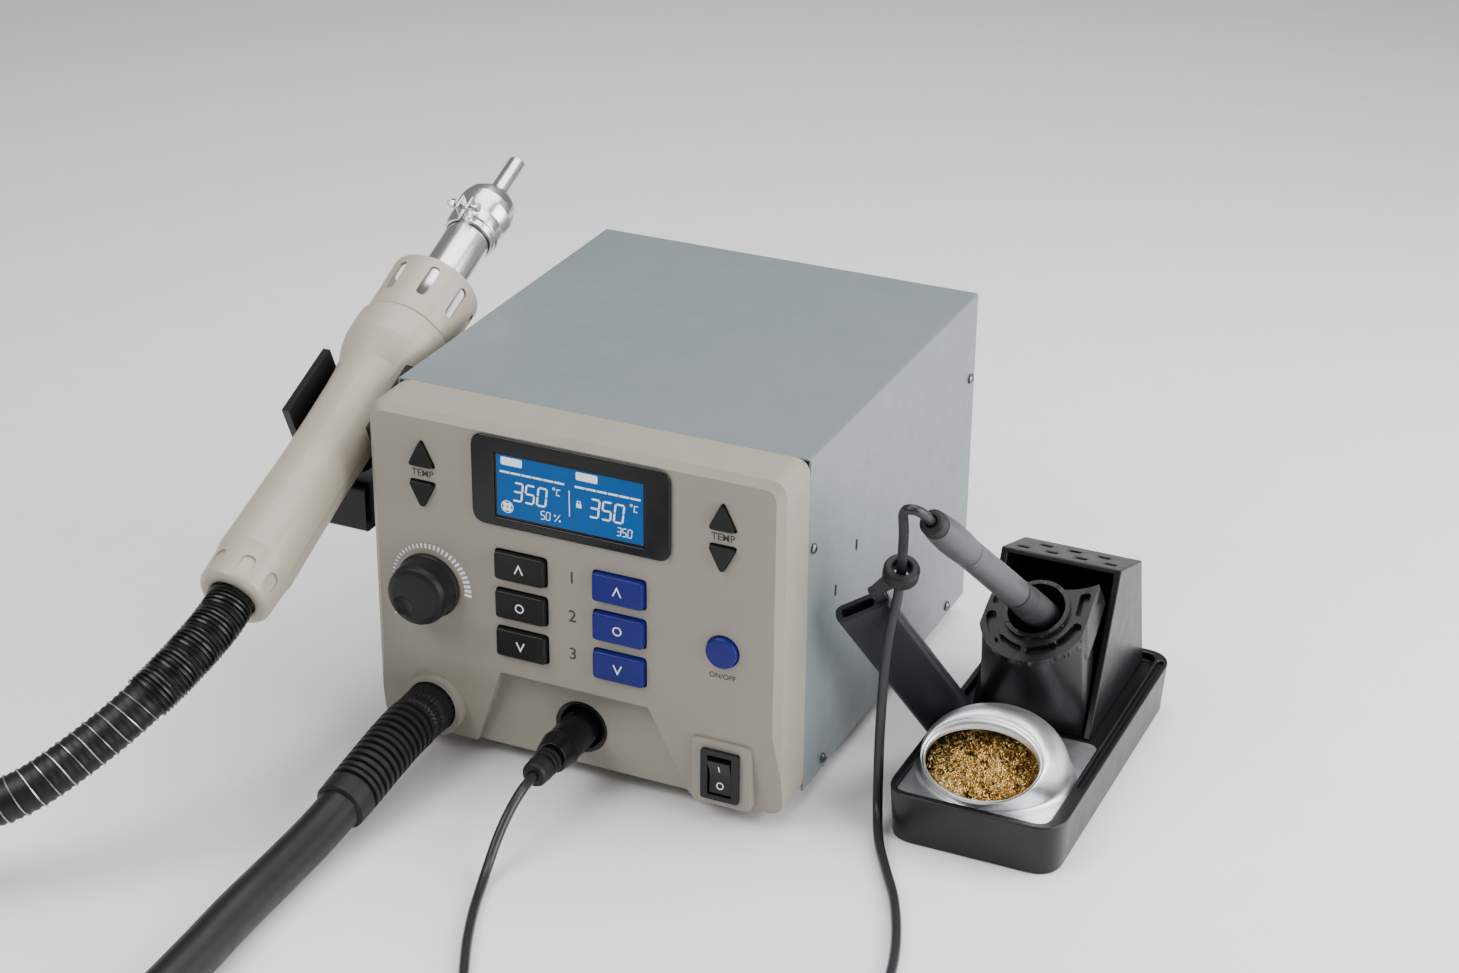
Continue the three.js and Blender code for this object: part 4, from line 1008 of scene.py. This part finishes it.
def make_plug():
    def knurl(t, height, radius):
        flat = abs(math.sin(t - 0.9))
        if 26 < height < 40 and radius > 10 and flat > 0.8:
            return 0.22 * math.cos(height * 2 * math.pi / 1.3)
        return 0

    body = fillet([(0, 14), (10.3, 14), (10.5, 24)], 0.4)
    body += [(10.5, 24 + 0.4 * k) for k in range(1, 42)]
    body += fillet([(10.5, 41), (10.5, 48), (9, 48.6), (0, 48.8)], 0.5)[1:]
    plug = lathe("iron_plug_look", body, SOCKET, (0, -1, 0), 96, knurl)
    shade(plug, 40)
    put(plug, GLOSS_BLACK, PLUG, "iron_plug")
    band = lathe(
        "iron_plug_ring",
        fillet([(6, 48.2), (10.9, 48.2), (11.1, 50), (9.1, 60), (6, 60.2), (6, 48.2)], 0.4), SOCKET,
        (0, -1, 0), 72,
    )
    shade(band)
    put(band, GLOSS_BLACK, PLUG)
    ribs = [(3, 59.6)]
    for k in range(3):
        low = 60.2 + k * 4.2
        ribs += [(6.0, low), (6.0, low + 1.2), (7.5, low + 1.6), (7.5, low + 3.8)]
    ribs += [(7.4, 73), (7.1, 78.6), (6.2, 80.2), (3.2, 80.6), (2.6, 79)]
    relief = lathe("iron_plug_relief", fillet(ribs, 0.35, 3), SOCKET, (0, -1, 0), 64)
    shade(relief)
    put(relief, RUBBER, PLUG)


def tilted(obj, angle, pivot):
    obj.data.transform(
        Matrix.Translation(metres(pivot))
        @ Matrix.Rotation(angle, 4, "X")
        @ Matrix.Translation(-metres(pivot))
    )
    return obj


def make_rocker():
    frame_piece = prism(
        "rocker_frame_look", rectangle(22, 30, 1.6, ROCKER.x, ROCKER.z), PANEL_Y - 2.4, PANEL_Y - 0.1,
    )
    well = prism("well", rectangle(13.8, 24, 0.6, ROCKER.x, ROCKER.z), PANEL_Y - 5, -20)
    body = prism("body", rectangle(18.8, 26.8, 1, ROCKER.x, ROCKER.z), PANEL_Y - 1, -14)
    weld(frame_piece, body)
    carve(frame_piece, well)
    bevel(frame_piece, 0.5, 3)
    put(frame_piece, GLOSS_BLACK, STATION, "rocker_frame")
    side = [
        (-6.9, -10.6), (-5.4, -4), (-5.0, 0), (-5.4, 4), (-6.9, 10.6), (0, 10.6), (4, 5), (4, -5),
        (0, -10.6),
    ]
    outline = [(ROCKER.y + y, ROCKER.z + z) for y, z in side]
    rocker = prism("power_rocker_look", outline, ROCKER.x - 6.5, ROCKER.x + 6.5, "x")
    bevel(rocker, 0.5, 3, 25)
    put(tilted(settle(rocker), ROCKER_TILT, ROCKER), GLOSS_BLACK, "rocker", "power_rocker")
    for name, z, shape in (("on", 5.6, "line"), ("off", -5.6, "circle")):
        y = ROCKER.y - 5.45 - 1.5 * (abs(z) - 4) / 6.6 - 0.12
        quads = stroke([(ROCKER.x, ROCKER.z + z - 1.7), (ROCKER.x, ROCKER.z + z + 1.7)], 0.6)
        if shape == "circle":
            outline = ring(1.8, ROCKER.x, ROCKER.z + z, 20)
            quads = stroke(outline + outline[:1], 0.55)
        points, faces = [], []
        lean = -0.227 if z > 0 else 0.227
        for quad in quads:
            faces += prism_faces(len(quad), len(points))
            points += [(u, y + lean * (v - ROCKER.z - z), v) for u, v in quad]
            points += [(u, y + 0.2 + lean * (v - ROCKER.z - z), v) for u, v in quad]
        mark = mesh_object("power_mark_" + name, points, faces)
        put(tilted(mark, ROCKER_TILT, ROCKER), PRINT_WHITE, "rocker")


def make_inside():
    """Pieces that only show through vents or when the cover is off."""
    looks = {
        "transformer": WINDING, "main_circuit_board": BOARD, "front_circuit_board": BOARD,
        "blower_housing": BLACK, "blower_rotor": BLACK, "air_duct": RUBBER,
        "air_flow_potentiometer": STEEL, "heater_core": CERAMIC,
    }
    for node, material in looks.items():
        soften(node, material, 0.3, 1)


# ---------- hot-air gun ----------
def on_gun(x, up, along):
    return GUN_TAIL + Vector((x, 0, 0)) + GUN_UP * up + GUN_DIR * along


def gun_block(name, x0, x1, up0, up1, s0, s1):
    corners = [on_gun(x, u, s) for x in (x0, x1) for u in (up0, up1) for s in (s0, s1)]
    return mesh_object(name, corners, BOX_FACES)


def turned_on_gun(name, profile, steps=96):
    return lathe(name, profile, GUN_TAIL, GUN_DIR, steps)


def gun_slot(angle, radius0, radius1, width, s0, s1):
    """A round-ended cutter that points out from the gun's axis."""
    out = Vector((math.cos(angle), 0, 0)) + GUN_UP * math.sin(angle)
    across = GUN_DIR.cross(out)
    outline = rectangle(width, s1 - s0, width * 0.49, 0, (s0 + s1) / 2, 5)
    points = [GUN_TAIL + out * r + across * u + GUN_DIR * v for r in (radius0, radius1) for u, v in outline]
    return mesh_object("cutter", points, prism_faces(len(outline)))


def make_gun():
    rough = [
        (12.6, 12), (12.6, 0), (18.4, 0), (20.6, 2.5), (21.0, 12), (21.1, 19), (22.1, 26), (21.6, 45),
        (20.6, 90), (20.8, 120), (21.4, 145), (22, 156), (23.2, 165), (26.4, 174), (28.1, 182),
        (28.3, 190), (28.2, 201.4), (22, 201.4), (22, 192),
    ]
    handle = turned_on_gun("gun_handle_look", fillet(rough, 5.0, 6))
    for angle in (20, 65, 115, 160, 245, 295):
        carve(handle, gun_slot(math.radians(angle), 19.8, 30, 8.0, 5.5, 17))
    seam = []
    for side in (-1, 1):
        seam.append(gun_block("cutter", side * 19, side * 31, -0.14, 0.14, 26, 170))
    carve(handle, *seam)
    shade(handle, 32)
    put(handle, GUN_PLASTIC, GUN, "gun_handle")
    wall = fillet(
        [
            (21, 202), (26.4, 202), (26.5, 216), (27.2, 240.6), (25.3, 241), (24.4, 208),
            (21, 205), (21, 202),
        ],
        0.7, 4,
    )
    shroud = turned_on_gun("gun_shroud_look", wall, 128)
    for k in range(8):
        carve(shroud, gun_slot((k + 0.5) * math.pi / 4, 22.5, 32, 6.2, 213.5, 235))
    shade(shroud, 32)
    put(shroud, GUN_PLASTIC, GUN, "gun_shroud")
    tube = turned_on_gun(
        "heater_tube_look",
        fillet([(11.9, 193), (13.5, 193), (13.5, 299), (11.9, 299), (11.9, 193)], 0.3),
    )
    shade(tube)
    put(tube, TUBE_STEEL, GUN, "heater_tube")
    make_nozzle()
    soften("gun_cradle", BLACK, 1.4, 3, 32)


def make_nozzle():
    outer = [
        (14.0, 284), (15.6, 284), (15.6, 288), (16.4, 288.6), (16.4, 296), (15.7, 296.6),
        (16.6, 300), (17.4, 305), (17.2, 310),
    ]
    crown = [
        (15.4, 315.5), (12.2, 319.4), (8.4, 321.8), (5.8, 323.4), (5.6, 326), (5.5, 351.3),
        (4.7, 351.3),
    ]
    inner = [(4.7, 323), (7.6, 320.4), (11.6, 317.8), (14.2, 313.8), (15.6, 309), (14.0, 301), (14.0, 284)]
    cap = turned_on_gun("gun_nozzle_look", fillet(outer + crown + inner, 1.2, 4), 112)
    carve(cap, gun_block("cutter", -2.9, 2.9, 10, 30, 270, 296.2))
    for side in (-1, 1):
        ear = gun_block("ear", side * 3.0 - 0.7, side * 3.0 + 0.7, 14.9, 23.5, 286, 296)
        bevel(ear, 0.5, 2)
        settle(ear)
        weld(cap, ear)
    shade(cap, 32)
    put(cap, TUBE_STEEL, "nozzle", "gun_nozzle")
    axis = Vector((-1, 0, 0))
    centre = on_gun(0, 20, 291)
    profile = [(0, -9), (2.5, -9), (2.7, -8.4), (2.7, -6.3), (1.35, -6.1)]
    profile += [(1.35 - 0.18 * (k % 2), -6 + 0.4 * k) for k in range(1, 44)]
    profile += [(1.2, 12.2), (0, 12.4)]
    bolt = lathe("nozzle_screw_look", profile, centre, axis, 28)
    shade(bolt, 50)
    put(bolt, STEEL, "nozzle_clamp_screw", "nozzle_screw")
    nut = lathe(
        "nozzle_screw_nut", fillet([(1.3, 6.4), (3.1, 6.4), (3.1, 9), (1.3, 9), (1.3, 6.4)], 0.2),
        centre, axis, 6,
    )
    put(bevel(nut, 0.3, 2), STEEL, "nozzle_clamp_screw")


# ---------- soldering iron ----------
def on_iron(name, profile, steps=72):
    return lathe(name, profile, HOLDER, IRON_AXIS, steps)


def make_iron():
    body = fillet([(3, 31), (7.6, 31), (8.2, 32.4), (8.1, 60), (7.9, 97)], 1.5)
    body += [(7.55, 97.3), (7.55, 97.9), (7.95, 98.2)]
    tail = [(8.0, 98.4), (8.5, 108), (8.7, 120), (8.2, 131), (7.6, 137.6), (6.6, 138), (4, 138)]
    handle = on_iron("iron_handle_look", body + fillet(tail, 1.5))
    shade(handle, 40)
    put(handle, IRON_PLASTIC, IRON, "iron_handle")
    grommet = [(3.2, 136), (7.0, 137.6), (7.3, 140), (7.0, 143.5), (5.4, 145.2), (3.4, 145.4), (2.6, 143)]
    piece = on_iron("iron_grommet", fillet(grommet, 0.8, 4))
    shade(piece, 40)
    put(piece, RUBBER, IRON)
    ribs = [(3.9, -14), (6.2, -14), (7.6, -12)]
    for k in range(11):
        low = -11 + k * 2.6
        ribs += [(8.6, low), (9.0, low + 0.5), (9.0, low + 1.5), (8.4, low + 1.9)]
    ribs += [(8.5, 18.6), (8.3, 22), (8.4, 30.2), (7.0, 30.8), (3.9, 30.8)]
    grip = on_iron("iron_grip_look", fillet(ribs, 0.35, 3), 72)
    shade(grip, 40)
    put(grip, GRIP, IRON, "iron_grip")
    shaft = [
        (0, 30), (3.4, 30), (3.4, -38), (3.0, -40), (3.0, -44), (2.4, -47), (2.1, -55), (0.5, -72),
        (0, -72.2),
    ]
    tip = on_iron("iron_tip_look", fillet(shaft, 0.8, 4), 48)
    shade(tip, 40)
    put(tip, STEEL, IRON, "iron_tip")


# ---------- stand ----------
def make_base():
    centre = (340, 94)
    top = rectangle(98, 208, 17, *centre, 12)
    base = prism("stand_base_look", rectangle(94, 204, 15.5, *centre, 12), 0, 30, "z", top)
    well = lathe("well", [(0, 5), (35, 5), (35, 31), (0, 31)], (DOME.x, DOME.y, 0), (0, 0, 1), 72)
    floor = prism("floor_cut", rectangle(85.6, 198.4, 8, 337.8, 94, 8), 25, 32, "z")
    groove = prism("groove", rectangle(3.2, 150, 1.5, 384.4, 112, 4), 27, 32, "z")
    carve(base, floor, well, groove)
    bevel(base, 1.3, 4, 40)
    put(base, STAND_BLACK, STATION, "stand_base")


def on_holder(name, outline, low, high):
    """An outline in the holder's own frame, pushed along its axis."""
    a, b, c = oriented(HOLDER_AXIS)
    points = [HOLDER + a * u + b * v + c * h for h in (low, high) for u, v in outline]
    return mesh_object(name, points, prism_faces(len(outline)))


HOLDER_R, HOLDER_HALF = 32.3, 29.5
HORN_TOP = 22.4
COLLAR_R, BORE_R = 18.5, 15.3


def arc(radius, start, end, steps):
    """Points along an arc, angles in radians."""
    angles = [start + (end - start) * k / steps for k in range(steps + 1)]
    return [(radius * math.cos(t), radius * math.sin(t)) for t in angles]


def holder_outline(inset):
    """Round below, straight at the sides, with a horn at each upper corner."""
    side, radius, top = HOLDER_HALF - inset, HOLDER_R - inset, HORN_TOP - inset
    corner = math.acos(side / radius)
    right = [(side, 0), (side - 1, top), (24, top - 2.8), (18, top - 5.2), (9, top - 6.8)]
    left = [(-x, y) for x, y in reversed(right)]
    return arc(radius, -math.pi + corner, -corner, 40) + right + left


def bent_slot(start, end, radius, half):
    """A slot with round ends, bent round the holder's axis; angles in degrees."""
    a, b = math.radians(start), math.radians(end)
    tip = Vector((radius * math.cos(b), radius * math.sin(b)))
    tail = Vector((radius * math.cos(a), radius * math.sin(a)))
    outer, inner = arc(radius + half, a, b, 12), arc(radius - half, b, a, 12)
    far = [tuple(tip + Vector(p)) for p in arc(half, b, b + math.pi, 8)[1:-1]]
    near = [tuple(tail + Vector(p)) for p in arc(half, a + math.pi, a + 2 * math.pi, 8)[1:-1]]
    return outer + far + inner + near


def make_rack():
    soften("tip_rack", STAND_BLACK, 0.9, 3, 30)
    a, b, c = oriented(HOLDER_AXIS)
    rim = [(u, min(v, 16)) for u, v in holder_outline(0.4)]
    points = [HOLDER - c * 4.2 + a * u + b * v for u, v in rim]
    points += [Vector((x, y, 25.4)) for x in (308.5, 367.5) for y in (94, 106)]
    foot = hull("foot", points)
    skirt = on_holder("skirt", holder_outline(0), -18, -0.5)
    carve(skirt, on_holder("hollow", holder_outline(2.4), -25, -4))
    weld(foot, skirt)
    for x0, x1 in ((290, 308.2), (367.8, 385)):
        carve(foot, prism("wedge", [(90.6, 20), (130, 114), (200, 114), (200, 20)], x0, x1, "x"))
    face = on_holder("iron_holder_look", holder_outline(0), -5, 0)
    weld(face, foot)
    collar = [(0, -3), (COLLAR_R, -3), (COLLAR_R, 2.6), (0, 2.6)]
    weld(face, lathe("collar", collar, HOLDER, HOLDER_AXIS, 96))
    for start in (-42, -81, -126, -165):
        carve(face, on_holder("slot", bent_slot(start, start + 27, 25.6, 2.9), -3.6, 4))
    for side in (-1, 1):
        corners = [(side * u, v) for u, v in ((21.6, 0.5), (27.2, 0.5), (26.4, 16.5), (20.4, 14.6))]
        carve(face, on_holder("slot", fillet(corners, 2.6, 6, closed=True), -3.6, 4))
    bore = [(0, -70), (BORE_R, -70), (BORE_R, -6), (BORE_R + 1, 6), (0, 6)]
    carve(face, lathe("bore", bore, HOLDER, HOLDER_AXIS, 80))
    carve(face, lathe("way", [(0, -90), (13.5, -90), (13.5, 0), (0, 0)], HOLDER, IRON_AXIS, 64))
    bevel(face, 0.7, 3, 35)
    put(face, STAND_BLACK, STATION, "iron_holder")


def hull(name, points):
    bm = bmesh.new()
    for p in points:
        bm.verts.new(metres(p))
    made = bmesh.ops.convex_hull(bm, input=bm.verts)
    inside = [v for v in made["geom_interior"] if isinstance(v, bmesh.types.BMVert)]
    bmesh.ops.delete(bm, geom=inside, context="VERTS")
    bmesh.ops.dissolve_limit(bm, angle_limit=math.radians(0.5), verts=bm.verts, edges=bm.edges)
    bmesh.ops.recalc_face_normals(bm, faces=bm.faces)
    mesh = bpy.data.meshes.new(name)
    bm.to_mesh(mesh)
    bm.free()
    return add_object(name, mesh)


def hood_rib(angle, inset, steps):
    """One rib of the hood: from the plate up, over and down to its sloping mouth."""
    c, s = math.cos(angle), math.sin(angle)
    back = (1 + s) / 2  # 0 at the front, 1 at the back
    foot = Vector((DOME.x + (DOME_R - inset) * c, DOME.y + (DOME_R - inset) * s, DOME.z - 1))
    run = (MOUTH_ALONG - inset) * s
    across = (MOUTH_ACROSS - inset) * c
    lip = MOUTH + Vector((across, run * math.cos(MOUTH_SLOPE), run * math.sin(MOUTH_SLOPE)))
    rise = 4 + 29 * back - inset * back
    bulge = 3 + 17 * back - inset
    wall = foot + Vector((0, 0, rise))
    brow = lip + Vector((c, 5 * s - bulge * math.sin(MOUTH_SLOPE), bulge * math.cos(MOUTH_SLOPE)))
    made = []
    for k in range(steps + 1):
        t = k / steps
        low = foot * (1 - t) ** 3 + wall * 3 * t * (1 - t) ** 2
        made.append(low + brow * 3 * t * t * (1 - t) + lip * t**3)
    return made


HOOD_STEPS = 22


def hood_ring(angle):
    """A closed section of the hood's wall, with a flare at its foot and a rolled rim."""
    outer, inner = hood_rib(angle, 0, HOOD_STEPS), hood_rib(angle, DOME_WALL, HOOD_STEPS)
    out = Vector((math.cos(angle), math.sin(angle), 0))
    start = outer[0] + out * 4.5 + Vector((0, 0, 0.7))
    turn, end = outer[0] + Vector((0, 0, 1.3)), outer[3]
    flare = [start * (1 - t) ** 2 + turn * 2 * t * (1 - t) + end * t * t for t in (0, 0.2, 0.4, 0.6, 0.8)]
    tip = (outer[-1] - outer[-2]).normalized()
    middle = (outer[-1] + inner[-1]) / 2 + tip * 0.7
    bead = outer[-1].lerp(middle, 0.5) + (outer[-1] - inner[-1]).normalized() * 0.25
    return flare + outer[3:] + [bead, middle] + inner[::-1] + [start - Vector((0, 0, 1.2))]


def make_cover():
    plate = prism("wool_cover_look", rectangle(84.6, 91, 8, 337.7, 41.3, 8), 25.4, 27, "z")
    throat = [(0, 20), (38.5, 20), (38.5, 30), (0, 30)]
    carve(plate, lathe("throat", throat, (DOME.x, DOME.y, 0), (0, 0, 1), 96))
    carve(plate, prism("corner", [(290, 66), (308, 66), (308, 92), (290, 92)], 20, 32, "z"))
    steps = 112
    rings = [hood_ring(2 * math.pi * k / steps) for k in range(steps)]
    n = len(rings[0])
    faces = []
    for i in range(steps):
        j = (i + 1) % steps
        faces += [(i * n + k, i * n + (k + 1) % n, j * n + (k + 1) % n, j * n + k) for k in range(n)]
    hood = mesh_object("hood", [p for section in rings for p in section], faces)
    weld(plate, hood)
    bevel(plate, 0.4, 2, 50)
    put(plate, COVER_STEEL, "cover", "wool_cover")


def make_wool():
    """Curled brass ribbon, packed under the cover."""
    rng = random.Random(7)
    parts = []
    for _ in range(900):
        turn = rng.uniform(0, 2 * math.pi)
        reach = 34 * math.sqrt(rng.random())
        top = 46 - 16 * (reach / 34) ** 2.0
        height = top - 26 * rng.random() ** 1.6
        centre = Vector((DOME.x + reach * math.cos(turn), DOME.y + reach * math.sin(turn), height))
        run = Vector((rng.uniform(-1, 1), rng.uniform(-1, 1), rng.uniform(-0.35, 0.35))).normalized()
        a, b, _ = oriented(run)
        curl = rng.uniform(0.9, 1.5)
        bend = rng.uniform(-0.6, 0.6)
        line = []
        for k in range(64):
            t = k / 63 - 0.5
            spin = k * 0.8
            across = curl * math.cos(spin) + bend * 16 * t * t
            p = centre + run * (t * 17) + a * across + b * (curl * math.sin(spin))
            side = Vector((p.x - DOME.x, p.y - DOME.y))
            most = 33.5 if p.z < 27 else 36.5 - 0.75 * max(p.z - 34, 0)
            if side.length > most:
                side *= most / side.length
            line.append(Vector((DOME.x + side.x, DOME.y + side.y, max(p.z, 6))))
        parts.append(ribbon(line, 0.17))
    points, faces = merged(*parts)
    wool = mesh_object("brass_wool_look", points, faces, merge=False)
    shade(wool, 60)
    put(wool, BRASS, STATION, "brass_wool")


def ribbon(line, half):
    """A narrow flat strip with a little thickness."""
    points = []
    for p, (a, b) in zip(line, frames(line)):
        points += [p + a * half, p + b * 0.08, p - a * half, p - b * 0.08]
    faces = tube_faces(len(line), 4)
    faces += [(0, 1, 2, 3), tuple(4 * (len(line) - 1) + k for k in range(4))]
    return points, faces


def make_arm():
    soften("lead_arm", ARM_PLASTIC, 0.9, 3, 32)
    profile = fillet(
        [
            (5.3, -4.6), (8.6, -4.6), (9.6, -2.6), (9.6, 2.6), (8.6, 4.6), (5.3, 4.6), (4.4, 0),
            (5.3, -4.6),
        ],
        1.2, 5,
    )
    eye = lathe("lead_arm_eye", profile, LOOP, LOOP_AXIS, 64)
    shade(eye, 50)
    put(eye, RUBBER, STATION)


# ---------- studio ----------
def area_light(name, at, target, power, size):
    light = bpy.data.lights.new(name, "AREA")
    light.energy = power
    light.shape = "RECTANGLE"
    light.size, light.size_y = size
    obj = add_object(name, light)
    where, aim = metres(at), metres(target)
    obj.location = where
    obj.rotation_euler = (aim - where).to_track_quat("-Z", "Y").to_euler()


def make_studio():
    mesh = bpy.data.meshes.new("floor")
    size = 6.0
    corners = [(-size, -size, 0), (size, -size, 0), (size, size, 0), (-size, size, 0)]
    mesh.from_pydata(corners, [], [(0, 1, 2, 3)])
    floor = add_object("floor", mesh)
    floor.location.z = -0.0002
    floor.data.materials.append(FLOOR)
    world = bpy.data.worlds.new("studio")
    world.use_nodes = True
    background = world.node_tree.nodes["Background"]
    background.inputs["Color"].default_value = (1, 1, 1, 1)
    background.inputs["Strength"].default_value = 0.26
    SCENE.world = world
    area_light("key", (-450, -800, 1150), (120, 40, 80), 14, (0.9, 0.7))
    area_light("right", (1250, 150, 520), (200, 80, 90), 27, (1.3, 1.0))
    area_light("top", (250, 450, 1450), (160, 80, 60), 25, (1.5, 1.3))


make_case()
make_screws()
make_display()
make_keys()
make_print()
make_knob()
make_ports()
make_plug()
make_rocker()
make_inside()
make_gun()
make_iron()
make_base()
make_rack()
make_cover()
make_wool()
make_arm()
make_studio()

bpy.context.view_layer.update()
